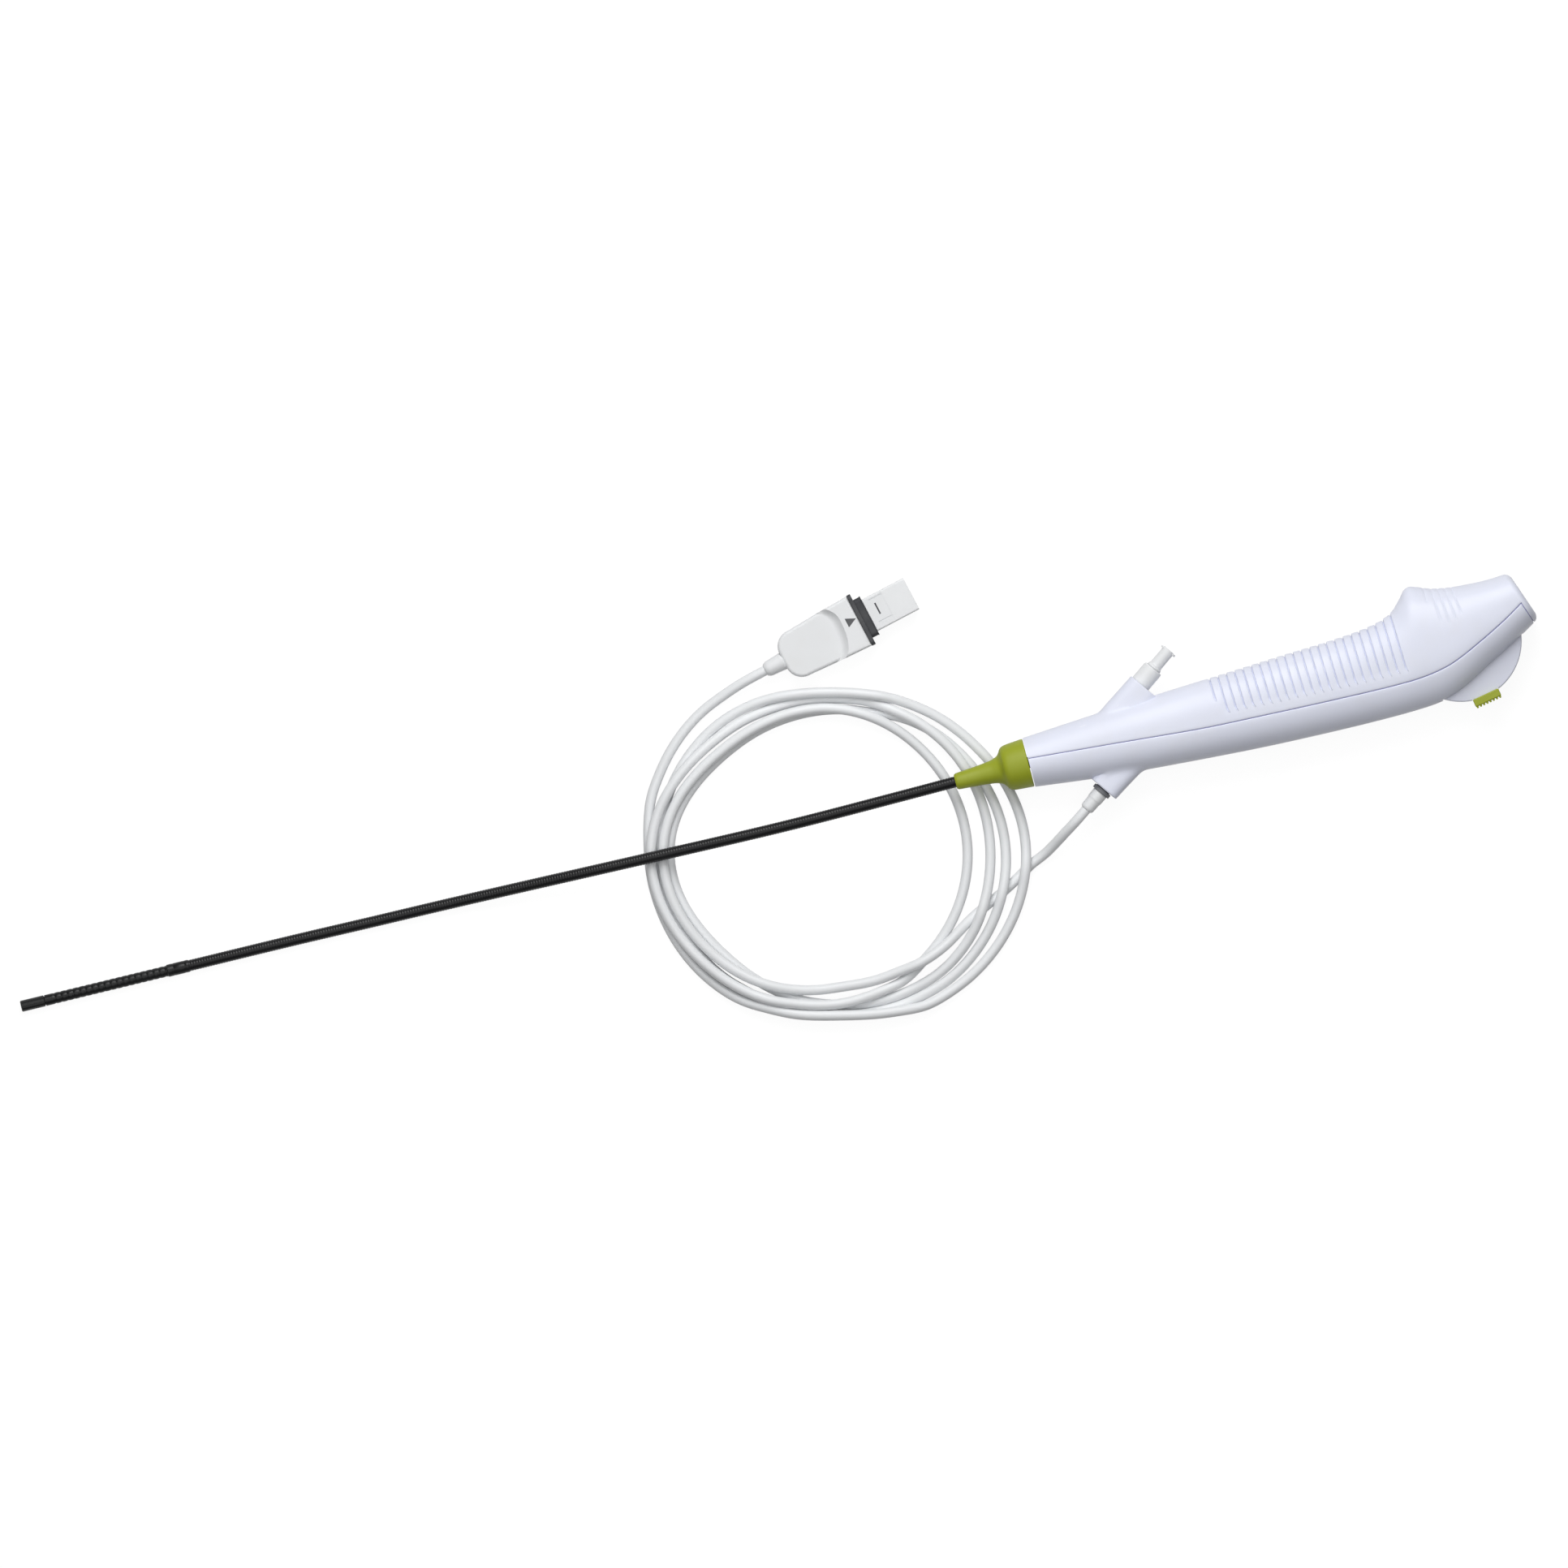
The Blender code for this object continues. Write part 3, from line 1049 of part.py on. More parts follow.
def make_plug(root, white, dark, rubber, board):
    plug = frame("plug_axis", root, (PLUG_X, PLUG_Y, PLUG_HALF_HEIGHT), PLUG_ANGLE)
    half = PLUG_HALF_HEIGHT - FLANGE_STEP
    top = mesh_piece("plug_top", extruded(plug_outline(), SEAT_GAP / 2, half), white, plug)
    bevelled(top, PLUG_EDGE, 2, 60.0)
    shaped(top, scoop_cut(plug), "DIFFERENCE")
    base = mesh_piece("plug_base", extruded(plug_outline(), -half, -SEAT_GAP / 2), white, plug)
    bevelled(base, PLUG_EDGE, 2, 60.0)
    face = FLANGE_THICKNESS / 2
    flange = rounded_bar(-face, face, FLANGE_WIDTH, 2 * PLUG_HALF_HEIGHT, PLUG_BAR_CORNER)
    mesh_piece("plug_flange", flange, dark, plug)
    seal_from, seal_to = face + SEAT_GAP, face + SEAT_GAP + SEAL_THICKNESS
    seal = rounded_bar(seal_from, seal_to, SEAL_WIDTH, SEAL_HEIGHT, PLUG_BAR_CORNER)
    mesh_piece("plug_seal", seal, rubber, plug)
    start, end = seal_to + SEAT_GAP, seal_to + SEAT_GAP + SHROUD_LENGTH
    shroud = mesh_piece(
        "plug_shroud", rounded_bar(start, end, SHROUD_WIDTH, SHROUD_HEIGHT, 0.8, 1), white, plug
    )
    inner_y, inner_z = SHROUD_WIDTH / 2 - SHROUD_WALL, SHROUD_HEIGHT / 2 - SHROUD_WALL
    floor = start + SOCKET_FLOOR
    hollow = block((floor, -inner_y, -inner_z), (end + PAST, inner_y, inner_z))
    shaped(shroud, mesh_piece("shroud_hollow_cut", hollow, None, plug), "DIFFERENCE")
    latch_x, latch_y = start + LATCH_FROM, LATCH_WIDTH / 2
    latch = block((latch_x, -latch_y, 0.0), (latch_x + LATCH_LENGTH, latch_y, SHROUD_HEIGHT / 2 + PAST))
    shaped(shroud, mesh_piece("latch_window_cut", latch, None, plug), "DIFFERENCE")
    tongue_y, tongue_z = inner_y - TONGUE_MARGIN, TONGUE_THICKNESS / 2
    low, high = (floor + SEAT_GAP, -tongue_y, -tongue_z), (end - TONGUE_SETBACK, tongue_y, tongue_z)
    mesh_piece("plug_board", block(low, high), board, plug)
    make_plug_boot(plug, white)


def make_plug_boot(plug, material):
    start = -FLANGE_THICKNESS / 2 - SEAT_GAP - PLUG_BODY_LENGTH - SEAT_GAP
    end = start - PLUG_BOOT_LENGTH
    profile = [
        (start, 0.0), (start, PLUG_BOOT_RADIUS),
        (end + PLUG_BOOT_NOSE, PLUG_BOOT_TIP_RADIUS + PLUG_BOOT_STEP),
        (end, PLUG_BOOT_TIP_RADIUS - RIM_CHAMFER), (end, 0.0),
    ]
    mesh_piece("plug_boot", turned(profile, 16), material, plug)


# Origin

def centre_on_origin(root):
    """Moves the whole so that the origin is under the middle of all but the free cable's pieces."""
    bpy.context.view_layer.update()
    corners = []
    depsgraph = bpy.context.evaluated_depsgraph_get()
    for thing in bpy.context.scene.objects:
        if thing.type == "EMPTY" or thing.hide_render or thing.name in CABLE_PIECES:
            continue
        solid = thing.evaluated_get(depsgraph)
        mesh = solid.to_mesh()
        corners += [thing.matrix_world @ vert.co for vert in mesh.vertices]
        solid.to_mesh_clear()
    low = [min(corner[axis] for corner in corners) for axis in range(3)]
    high = [max(corner[axis] for corner in corners) for axis in range(3)]
    root.location = (-(low[0] + high[0]) / 2, -(low[1] + high[1]) / 2, -low[2])


def build():
    clear_scene()
    white = finish("handle_white", (0.78, 0.79, 0.88), 0.42)
    lime = finish("lime_rubber", (0.40, 0.46, 0.03), 0.5)
    black = finish("tube_black", (0.015, 0.015, 0.016), 0.4)
    pale = finish("pale_plastic", (0.72, 0.74, 0.73), 0.45)
    grey = finish("dark_grey", (0.045, 0.048, 0.055), 0.55)
    steel = finish("steel", (0.62, 0.62, 0.63), 0.3, 1.0)
    green = finish("board_green", (0.02, 0.16, 0.06), 0.5)
    glass = finish("lens_glass", (0.02, 0.02, 0.03), 0.08)
    lamp = finish("lamp", (0.85, 0.84, 0.7), 0.3)
    root = frame("scope", None)
    handle = frame("handle_axis", root, (0.0, 0.0, HANDLE_HALF_WIDTH))
    make_finger_shell(handle, white)
    make_palm_shell(handle, white)
    make_bend_relief(handle, lime)
    make_tube_anchor(handle, pale)
    lever = frame("lever_axis", handle, (WHEEL_X, WHEEL_Y, 0.0))
    make_control_wheel(lever, white)
    make_thumb_pad(lever, lime)
    make_wire_drum(lever, pale)
    make_wheel_axle(handle, steel)
    make_pull_wire("pull_wire_front", handle, 1, steel)
    make_pull_wire("pull_wire_back", handle, -1, steel)
    make_stop_block(handle, pale)
    make_conduit("conduit_front", handle, 1, CONDUIT_FRONT_ROUTE, CONDUIT_FRONT_END, steel)
    make_conduit("conduit_back", handle, -1, CONDUIT_BACK_ROUTE, CONDUIT_BACK_END, steel)
    make_port(handle, white, pale, pale)
    make_channel_tube(handle, pale)
    make_circuit_board(handle, green)
    make_leads(handle, black)
    make_cable_exit(handle, grey, pale)
    make_insertion_tube(root, black)
    shaft = frame("shaft_end", root, shaft_point(0.0), SHAFT_END_ANGLE)
    make_sleeve(shaft, black)
    make_links(shaft, steel)
    make_cover(shaft, black)
    make_tip(shaft, black, glass, lamp)
    make_cable(root, pale)
    make_coil(root, pale)
    make_plug(root, pale, grey, grey, green)
    centre_on_origin(root)


build()
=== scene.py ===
import json
import math

import bmesh
import bpy
import numpy as np
from mathutils import Matrix, Vector, kdtree


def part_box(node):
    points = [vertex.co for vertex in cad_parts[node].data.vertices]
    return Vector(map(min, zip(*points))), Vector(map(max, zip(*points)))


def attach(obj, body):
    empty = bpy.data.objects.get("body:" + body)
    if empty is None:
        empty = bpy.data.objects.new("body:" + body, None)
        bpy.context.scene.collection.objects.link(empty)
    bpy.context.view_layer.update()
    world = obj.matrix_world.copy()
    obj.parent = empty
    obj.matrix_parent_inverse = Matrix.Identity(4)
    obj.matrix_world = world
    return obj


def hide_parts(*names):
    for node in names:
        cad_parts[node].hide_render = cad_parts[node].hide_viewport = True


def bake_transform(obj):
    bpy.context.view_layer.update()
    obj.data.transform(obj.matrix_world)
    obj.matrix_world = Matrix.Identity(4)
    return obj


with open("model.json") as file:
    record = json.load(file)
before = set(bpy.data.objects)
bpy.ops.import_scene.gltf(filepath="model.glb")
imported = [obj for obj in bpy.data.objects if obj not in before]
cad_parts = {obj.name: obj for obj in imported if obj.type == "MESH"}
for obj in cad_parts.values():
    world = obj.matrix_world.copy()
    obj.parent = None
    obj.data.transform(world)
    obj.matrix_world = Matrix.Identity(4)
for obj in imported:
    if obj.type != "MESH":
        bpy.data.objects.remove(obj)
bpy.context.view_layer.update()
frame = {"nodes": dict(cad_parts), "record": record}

mm = 0.001

# The middle of each group of pieces, in millimetres from the table under the handle's nose, and its
# turn in degrees. The wheel's axle gives the way from there to the frame.
places = {
    'table': (0.0, 0.0, 0.0, 0.0), 'handle': (0.0, 0.0, 16.0, 0.0), 'port': (59.4, 22.5, 16.0, 35.0),
    'cableExit': (29.8, -21.1, 16.0, 215.0), 'wheel': (210.7, 3.3, 16.0, 0.0),
    'shaft': (-419.4, 8.72, 3.0, 178.83), 'plug': (-60.3, 85.3, 6.7, 13.0),
}
axisHeight = places['handle'][2]
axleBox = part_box('wheel_axle')
shift = (axleBox[0] + axleBox[1]) / 2 / mm - Vector(places['wheel'][:3])


def turnedTo(x, y, z, turn):
    return Matrix.Translation((x, y, z)) @ Matrix.Rotation(math.radians(turn), 4, 'Z')


frames = {name: turnedTo(*(Vector(place[:3]) + shift), place[3]) for name, place in places.items()}


def placedObject(name, data):
    thing = bpy.data.objects.new(name, data)
    bpy.context.collection.objects.link(thing)
    return thing


# a new node with its settings; each input takes a value or a link from a socket
def addNode(tree, kind, inputs=(), **settings):
    node = tree.nodes.new(kind)
    for label, value in settings.items():
        setattr(node, label, value)
    for label, value in dict(inputs).items():
        socket = node.inputs[label]
        if isinstance(value, bpy.types.NodeSocket):
            tree.links.new(value, socket)
        else:
            socket.default_value = (*value, 1.0) if socket.type == 'RGBA' else value
    return node


def mathNode(tree, operation, *values, clamp=False):
    return addNode(tree, 'ShaderNodeMath', enumerate(values), operation=operation, use_clamp=clamp).outputs[0]


studio = {
    'viewWidth': 0.740, 'viewCentre': (0.00574, 0.01521), 'viewTurn': -14.8, 'viewHeight': 1.6, 'viewReach': 12.0,
    'floorReach': 4.0, 'floorLevel': -0.0002,
    'floorWhite': 0.14,           # how much of the floor's white comes from the lamps, so that shadows show
    'floorLift': 0.06,            # what the lamps leave short of white
    'floorBounce': 0.30, 'skyLevel': 0.17,
    'lamps': {'keyLamp': (18.2, 1.1, (0.28, 1.12, 1.15)), 'topLamp': (16.0, 2.0, (-0.1, 0.1, 1.95))},
    'lampAim': (0.02, 0.0, 0.0),
}


def addCamera():
    lens = bpy.data.cameras.new('viewCamera')
    lens.type, lens.ortho_scale, lens.clip_end = 'ORTHO', studio['viewWidth'], studio['viewReach']
    viewer = placedObject('viewCamera', lens)
    viewer.location = (*studio['viewCentre'], studio['viewHeight'])
    viewer.rotation_euler.z = math.radians(studio['viewTurn'])
    bpy.context.scene.camera = viewer
    bpy.context.scene.view_settings.view_transform = 'Standard'


# what the camera, mirrors and glass see is white where no shadow falls; the pieces see a dull table
def addFloor():
    reach, share = studio['floorReach'], studio['floorWhite']
    mesh = bpy.data.meshes.new('tableTop')
    mesh.from_pydata([(-reach, -reach, 0.0), (reach, -reach, 0.0), (reach, reach, 0.0), (-reach, reach, 0.0)],
                     [], [(0, 1, 2, 3)])
    floor = placedObject('tableTop', mesh)
    floor.location.z = studio['floorLevel']
    material = bpy.data.materials.new('tableWhite')
    material.use_nodes = True
    tree = material.node_tree
    tree.nodes.clear()
    ray = addNode(tree, 'ShaderNodeLightPath').outputs
    seen = mathNode(tree, 'MAXIMUM', mathNode(tree, 'MAXIMUM', ray['Is Camera Ray'], ray['Is Glossy Ray']),
                    ray['Is Transmission Ray'])
    plain = addNode(tree, 'ShaderNodeBsdfDiffuse', {'Color': [studio['floorBounce']] * 3})
    lit = addNode(tree, 'ShaderNodeBsdfDiffuse', {'Color': [share] * 3})
    glow = addNode(tree, 'ShaderNodeEmission', {'Strength': 1.0 - share + studio['floorLift']})
    white = addNode(tree, 'ShaderNodeAddShader', {0: lit.outputs[0], 1: glow.outputs[0]})
    mix = addNode(tree, 'ShaderNodeMixShader', {'Fac': seen, 1: plain.outputs[0], 2: white.outputs[0]})
    addNode(tree, 'ShaderNodeOutputMaterial', {'Surface': mix.outputs[0]})
    mesh.materials.append(material)


def addLamp(name, power, size, place):
    lamp = bpy.data.lights.new(name, 'AREA')
    lamp.energy, lamp.size = power, size
    holder = placedObject(name, lamp)
    holder.location = place
    aim = Vector(studio['lampAim']) - Vector(place)
    holder.rotation_euler = aim.to_track_quat('-Z', 'Y').to_euler()


def addSky():
    world = bpy.data.worlds.new('softSky')
    bpy.context.scene.world = world
    world.use_nodes = True
    tree = world.node_tree
    tree.nodes.clear()
    dim, bright = (addNode(tree, 'ShaderNodeBackground', {'Color': [1.0] * 3, 'Strength': level}).outputs[0]
                   for level in (studio['skyLevel'], 1.0))
    seen = addNode(tree, 'ShaderNodeLightPath').outputs['Is Camera Ray']
    mix = addNode(tree, 'ShaderNodeMixShader', {'Fac': seen, 1: dim, 2: bright})
    addNode(tree, 'ShaderNodeOutputWorld', {'Surface': mix.outputs[0]})


addCamera()
addFloor()
addSky()
for lampName, lampSizes in studio['lamps'].items():
    addLamp(lampName, *lampSizes)
print('stage: camera, table and lamps')


def effectGroup(name, inputs):
    group = bpy.data.node_groups.new(name, 'ShaderNodeTree')
    for label, value in inputs.items():
        socket = group.interface.new_socket(label, in_out='INPUT', socket_type='NodeSocketFloat')
        socket.default_value = value
    return group, addNode(group, 'NodeGroupInput').outputs


def finishedGroup(group, outputs):
    for label in outputs:
        group.interface.new_socket(label, in_out='OUTPUT', socket_type='NodeSocketFloat')
    addNode(group, 'NodeGroupOutput', outputs)
    return group


def noiseNode(tree, vector, scale, detail):
    return addNode(tree, 'ShaderNodeTexNoise', {'Vector': vector, 'Scale': scale, 'Detail': detail}).outputs['Fac']


def objectPlace(tree):
    return addNode(tree, 'ShaderNodeTexCoord').outputs['Object']


# fine spark-eroded grain with slow blotches, and a mask of rubbed edges
def buildMouldGrain():
    group, given = effectGroup('mouldGrain', {'Grain Scale': 1500.0, 'Blotch Scale': 30.0, 'Edge Start': 0.53})
    place = objectPlace(group)
    scuffs = noiseNode(group, place, 220.0, 4.0)
    shape = addNode(group, 'ShaderNodeNewGeometry').outputs['Pointiness']
    edge = mathNode(group, 'MULTIPLY', mathNode(group, 'SUBTRACT', shape, given['Edge Start']), 9.0)
    return finishedGroup(group, {
        'Height': noiseNode(group, place, given['Grain Scale'], 2.0),
        'Blotch': noiseNode(group, place, given['Blotch Scale'], 3.0),
        'Edge': mathNode(group, 'MULTIPLY', edge, scuffs, clamp=True)})


# thin dust and smudges that gather on faces that look up
def buildSettledDust():
    group, given = effectGroup('settledDust', {'Amount': 0.3, 'Scale': 90.0})
    cloud = noiseNode(group, objectPlace(group), given['Scale'], 6.0)
    normal = addNode(group, 'ShaderNodeNewGeometry').outputs['Normal']
    up = mathNode(group, 'MAXIMUM', addNode(group, 'ShaderNodeSeparateXYZ', {0: normal}).outputs['Z'], 0.0)
    strong = mathNode(group, 'MULTIPLY', mathNode(group, 'SUBTRACT', cloud, 0.45), 4.0, clamp=True)
    return finishedGroup(group, {
        'Mask': mathNode(group, 'MULTIPLY', mathNode(group, 'MULTIPLY', strong, up), given['Amount'])})


# streaks along a drawn jacket, from its own map: metres along, then one turn round
def buildDrawnJacket():
    group, given = effectGroup('drawnJacket', {'Streak Scale': 6.0, 'Along Scale': 40.0})
    chart = addNode(group, 'ShaderNodeUVMap').outputs['UV']
    split = addNode(group, 'ShaderNodeSeparateXYZ', {0: chart}).outputs
    angle = mathNode(group, 'MULTIPLY', split['Y'], math.tau)
    place = addNode(group, 'ShaderNodeCombineXYZ', {
        'X': mathNode(group, 'COSINE', angle), 'Y': mathNode(group, 'SINE', angle),
        'Z': mathNode(group, 'MULTIPLY', split['X'], given['Along Scale'])}).outputs[0]
    return finishedGroup(group, {
        'Height': noiseNode(group, place, given['Streak Scale'], 3.0), 'Tone': noiseNode(group, place, 0.8, 2.0)})


# fine drawn lines along the handle's length
def buildBrushedMetal():
    group, given = effectGroup('brushedMetal', {'Line Scale': 5000.0})
    place = objectPlace(group)
    drawn = addNode(group, 'ShaderNodeMapping', {'Vector': place, 'Scale': (0.03, 1.0, 1.0)}).outputs[0]
    return finishedGroup(group, {
        'Height': noiseNode(group, drawn, given['Line Scale'], 2.0), 'Tone': noiseNode(group, place, 300.0, 3.0)})


effects = {
    'mouldGrain': buildMouldGrain(), 'settledDust': buildSettledDust(), 'drawnJacket': buildDrawnJacket(),
    'brushedMetal': buildBrushedMetal(),
}


def effectNode(tree, name, inputs=()):
    return addNode(tree, 'ShaderNodeGroup', inputs, node_tree=effects[name]).outputs


def mixedColour(tree, factor, first, second):
    node = addNode(tree, 'ShaderNodeMix', {'Factor': factor, 'A': first, 'B': second}, data_type='RGBA')
    return node.outputs['Result']


def startMaterial(name, gloss=0.5, metallic=0.0, coat=0.0):
    material = bpy.data.materials.new(name)
    material.use_nodes = True
    shader = material.node_tree.nodes['Principled BSDF']
    for label, value in (('Specular IOR Level', gloss), ('Metallic', metallic), ('Coat Weight', coat)):
        shader.inputs[label].default_value = value
    return material, material.node_tree


# the material with its colour, its roughness between two limits, and its relief
def finishedMaterial(material, tint, sheen, rough, height, depth):
    tree = material.node_tree
    shader = tree.nodes['Principled BSDF']
    spread = addNode(tree, 'ShaderNodeMapRange', {
        'Value': sheen, 'From Min': 0.3, 'From Max': 0.7, 'To Min': rough[0], 'To Max': rough[1]})
    bump = addNode(tree, 'ShaderNodeBump', {'Strength': 0.6, 'Distance': depth, 'Height': height})
    tree.links.new(tint, shader.inputs['Base Color'])
    tree.links.new(spread.outputs['Result'], shader.inputs['Roughness'])
    tree.links.new(bump.outputs['Normal'], shader.inputs['Normal'])
    return material


def mouldedMaterial(name, colour, shade, rubbed, rough, grain, depth, dust, gloss, dustColour=(0.70, 0.69, 0.66)):
    material, tree = startMaterial(name, gloss)
    skin = effectNode(tree, 'mouldGrain', {'Grain Scale': grain})
    film = effectNode(tree, 'settledDust', {'Amount': dust})
    tint = mixedColour(tree, skin['Blotch'], colour, shade)
    tint = mixedColour(tree, skin['Edge'], tint, rubbed)
    tint = mixedColour(tree, film['Mask'], tint, dustColour)
    return finishedMaterial(material, tint, skin['Blotch'], rough, skin['Height'], depth)


def jacketMaterial(name, colour, shade, rough, depth, streak=6.0, gloss=0.5, dustColour=(0.68, 0.68, 0.66)):
    material, tree = startMaterial(name, gloss)
    skin = effectNode(tree, 'drawnJacket', {'Streak Scale': streak})
    film = effectNode(tree, 'settledDust', {'Amount': 0.12})
    tint = mixedColour(tree, skin['Tone'], colour, shade)
    tint = mixedColour(tree, film['Mask'], tint, dustColour)
    return finishedMaterial(material, tint, skin['Height'], rough, skin['Height'], depth)


def metalMaterial(name, colour, shade):
    material, tree = startMaterial(name, metallic=1.0)
    lines = effectNode(tree, 'brushedMetal')
    tint = mixedColour(tree, lines['Tone'], colour, shade)
    return finishedMaterial(material, tint, lines['Height'], (0.22, 0.42), lines['Height'], 0.000008)


# green mask over copper tracks, with tinned pads
def boardMaterial(name):
    material, tree = startMaterial(name, coat=0.3)
    place = objectPlace(tree)
    tracks = addNode(tree, 'ShaderNodeTexBrick', {
        'Vector': place, 'Scale': 260.0, 'Mortar Size': 0.03, 'Color1': (0.012, 0.12, 0.045),
        'Color2': (0.016, 0.15, 0.055), 'Mortar': (0.03, 0.26, 0.09)}).outputs
    pads = addNode(tree, 'ShaderNodeTexVoronoi', {'Vector': place, 'Scale': 420.0}).outputs
    dots = mathNode(tree, 'LESS_THAN', pads['Distance'], 0.16)
    tint = mixedColour(tree, dots, tracks['Color'], (0.75, 0.70, 0.55))
    sheen = effectNode(tree, 'mouldGrain')['Blotch']
    return finishedMaterial(material, tint, sheen, (0.28, 0.42), tracks['Fac'], 0.00003)


def glassMaterial(name, colour, shade):
    material, tree = startMaterial(name, gloss=0.6, coat=0.6)
    skin = effectNode(tree, 'mouldGrain', {'Blotch Scale': 900.0})
    tint = mixedColour(tree, skin['Blotch'], colour, shade)
    return finishedMaterial(material, tint, skin['Blotch'], (0.04, 0.12), skin['Height'], 0.000002)


# moulded: colour, its shade, rubbed edges, roughness, grain, its depth, dust, gloss and the dust's colour
# jacket: colour, its shade, roughness, depth of the streaks, their scale, gloss and the dust's colour
finishes = {
    'handle_white': mouldedMaterial('handleWhite', (0.79, 0.815, 0.925), (0.75, 0.775, 0.895), (0.85, 0.865, 0.945),
                                    (0.36, 0.46), 1700.0, 0.000014, 0.10, 0.45),
    'lime_rubber': mouldedMaterial('limeRubber', (0.335, 0.385, 0.016), (0.29, 0.34, 0.013), (0.42, 0.47, 0.05),
                                   (0.40, 0.54), 1300.0, 0.00002, 0.06, 0.4, (0.42, 0.46, 0.12)),
    'tube_black': mouldedMaterial('coverBlack', (0.008, 0.0085, 0.009), (0.011, 0.0115, 0.012), (0.025, 0.026, 0.027),
                                  (0.22, 0.34), 1600.0, 0.000008, 0.03, 0.24, (0.04, 0.04, 0.04)),
    'pale_plastic': mouldedMaterial('palePlastic', (0.80, 0.812, 0.825), (0.75, 0.762, 0.775), (0.87, 0.88, 0.885),
                                    (0.34, 0.46), 1500.0, 0.000016, 0.14, 0.45),
    'dark_grey': mouldedMaterial('darkGrey', (0.040, 0.042, 0.048), (0.032, 0.034, 0.040), (0.12, 0.12, 0.13),
                                 (0.46, 0.60), 1400.0, 0.00003, 0.16, 0.45, (0.20, 0.20, 0.19)),
    'seal_rubber': mouldedMaterial('sealRubber', (0.040, 0.042, 0.048), (0.032, 0.034, 0.040), (0.10, 0.10, 0.105),
                                   (0.50, 0.66), 1200.0, 0.00003, 0.16, 0.4, (0.18, 0.18, 0.17)),
    'cable_jacket': jacketMaterial('cableJacket', (0.83, 0.845, 0.86), (0.79, 0.805, 0.82), (0.34, 0.44), 0.00003),
    'steel': metalMaterial('drawnSteel', (0.64, 0.64, 0.65), (0.52, 0.52, 0.54)),
    'board_green': boardMaterial('boardGreen'),
    'lens_glass': glassMaterial('lensGlass', (0.010, 0.010, 0.030), (0.03, 0.02, 0.06)),
    'lamp': glassMaterial('lampDome', (0.88, 0.87, 0.72), (0.80, 0.78, 0.60)),
    'shaftJacket': jacketMaterial('shaftJacket', (0.008, 0.008, 0.009), (0.011, 0.011, 0.012), (0.20, 0.30), 0.00001,
                                  9.0, 0.24, (0.035, 0.035, 0.035)),
    # the lip's dark lavender is painted shade of the parting gap, not a colour of its own
    'lipGapShade': mouldedMaterial('lipGapShade', (0.30, 0.30, 0.58), (0.26, 0.26, 0.52), (0.40, 0.40, 0.66),
                                   (0.42, 0.52), 1500.0, 0.00001, 0.0, 0.4),
    # the wheel's white is the handle's white made darker: painted shade, where the handle shades the wheel
    'wheelShadedWhite': mouldedMaterial('wheelShadedWhite', (0.67, 0.69, 0.79), (0.64, 0.66, 0.76), (0.78, 0.79, 0.87),
                                  (0.38, 0.48), 1700.0, 0.000014, 0.10, 0.4),
    'glandGrey': mouldedMaterial('glandGrey', (0.20, 0.205, 0.22), (0.17, 0.175, 0.19), (0.30, 0.30, 0.32),
                                 (0.44, 0.56), 1400.0, 0.00002, 0.10, 0.4, (0.36, 0.36, 0.36)),
}
print('stage: finishes')


def ringOf(shape, ahead, radius, sides):
    if radius < 1e-6:
        return [shape.verts.new((ahead, 0.0, 0.0))]
    angles = [math.tau * i / sides for i in range(sides)]
    return [shape.verts.new((ahead, radius * math.cos(a), radius * math.sin(a))) for a in angles]


# a profile of (distance along X, radius) turned round X
def turnedShape(profile, sides=64, closed=False):
    shape = bmesh.new()
    rings = [ringOf(shape, ahead, radius, sides) for ahead, radius in profile]
    pairs = list(zip(rings, rings[1:]))
    if closed:
        pairs.append((rings[-1], rings[0]))
    for ring, following in pairs:
        for i in range(sides):
            j = (i + 1) % sides
            corners = [ring[i % len(ring)], ring[j % len(ring)],
                       following[j % len(following)], following[i % len(following)]]
            corners = list(dict.fromkeys(corners))
            if len(corners) > 2:
                shape.faces.new(corners)
    bmesh.ops.recalc_face_normals(shape, faces=shape.faces)
    return shape


def turnedRod(start, end, radius, sides):
    return turnedShape([(start, 0.0), (start, radius), (end, radius), (end, 0.0)], sides)


# rounds the corners of a line, by at most the reach on either side of each
def softened(points, reach, steps=4, closed=False):
    points = [Vector(p) for p in points]
    line = []
    for i, here in enumerate(points):
        if not closed and i in (0, len(points) - 1):
            line.append(here)
            continue
        before, after = points[i - 1] - here, points[(i + 1) % len(points)] - here
        start = here + before.normalized() * min(reach, before.length * 0.46)
        end = here + after.normalized() * min(reach, after.length * 0.46)
        for k in range(steps + 1):
            t = k / steps
            line.append(start * (1 - t) ** 2 + here * 2 * t * (1 - t) + end * t * t)
    return [tuple(p) for p in line]


def softTurned(profile, reach, steps, sides, closed=False):
    return turnedShape(softened(profile, reach, steps, closed), sides, closed)


def arcPoints(radius, start, end, steps, centre=(0.0, 0.0)):
    angles = [math.radians(start + (end - start) * i / steps) for i in range(steps + 1)]
    return [(centre[0] + radius * math.cos(a), centre[1] + radius * math.sin(a)) for a in angles]


# an outline from above as a slab, its rims rounded by the edge
def slabShape(outline, low, high, edge=0.0, steps=3):
    shape = bmesh.new()
    corners = [shape.verts.new((x, y, low)) for x, y in outline]
    floor = shape.faces.new(corners)
    raised = bmesh.ops.extrude_face_region(shape, geom=[floor])['geom']
    lifted = [item for item in raised if isinstance(item, bmesh.types.BMVert)]
    bmesh.ops.translate(shape, vec=(0.0, 0.0, high - low), verts=lifted)
    bmesh.ops.recalc_face_normals(shape, faces=shape.faces)
    if edge:
        caps = [f for f in shape.faces if abs(f.normal.z) > 0.9]
        rims = list({e for f in caps for e in f.edges})
        bmesh.ops.bevel(shape, geom=rims, offset=edge, segments=steps, profile=0.5, affect='EDGES')
    return shape


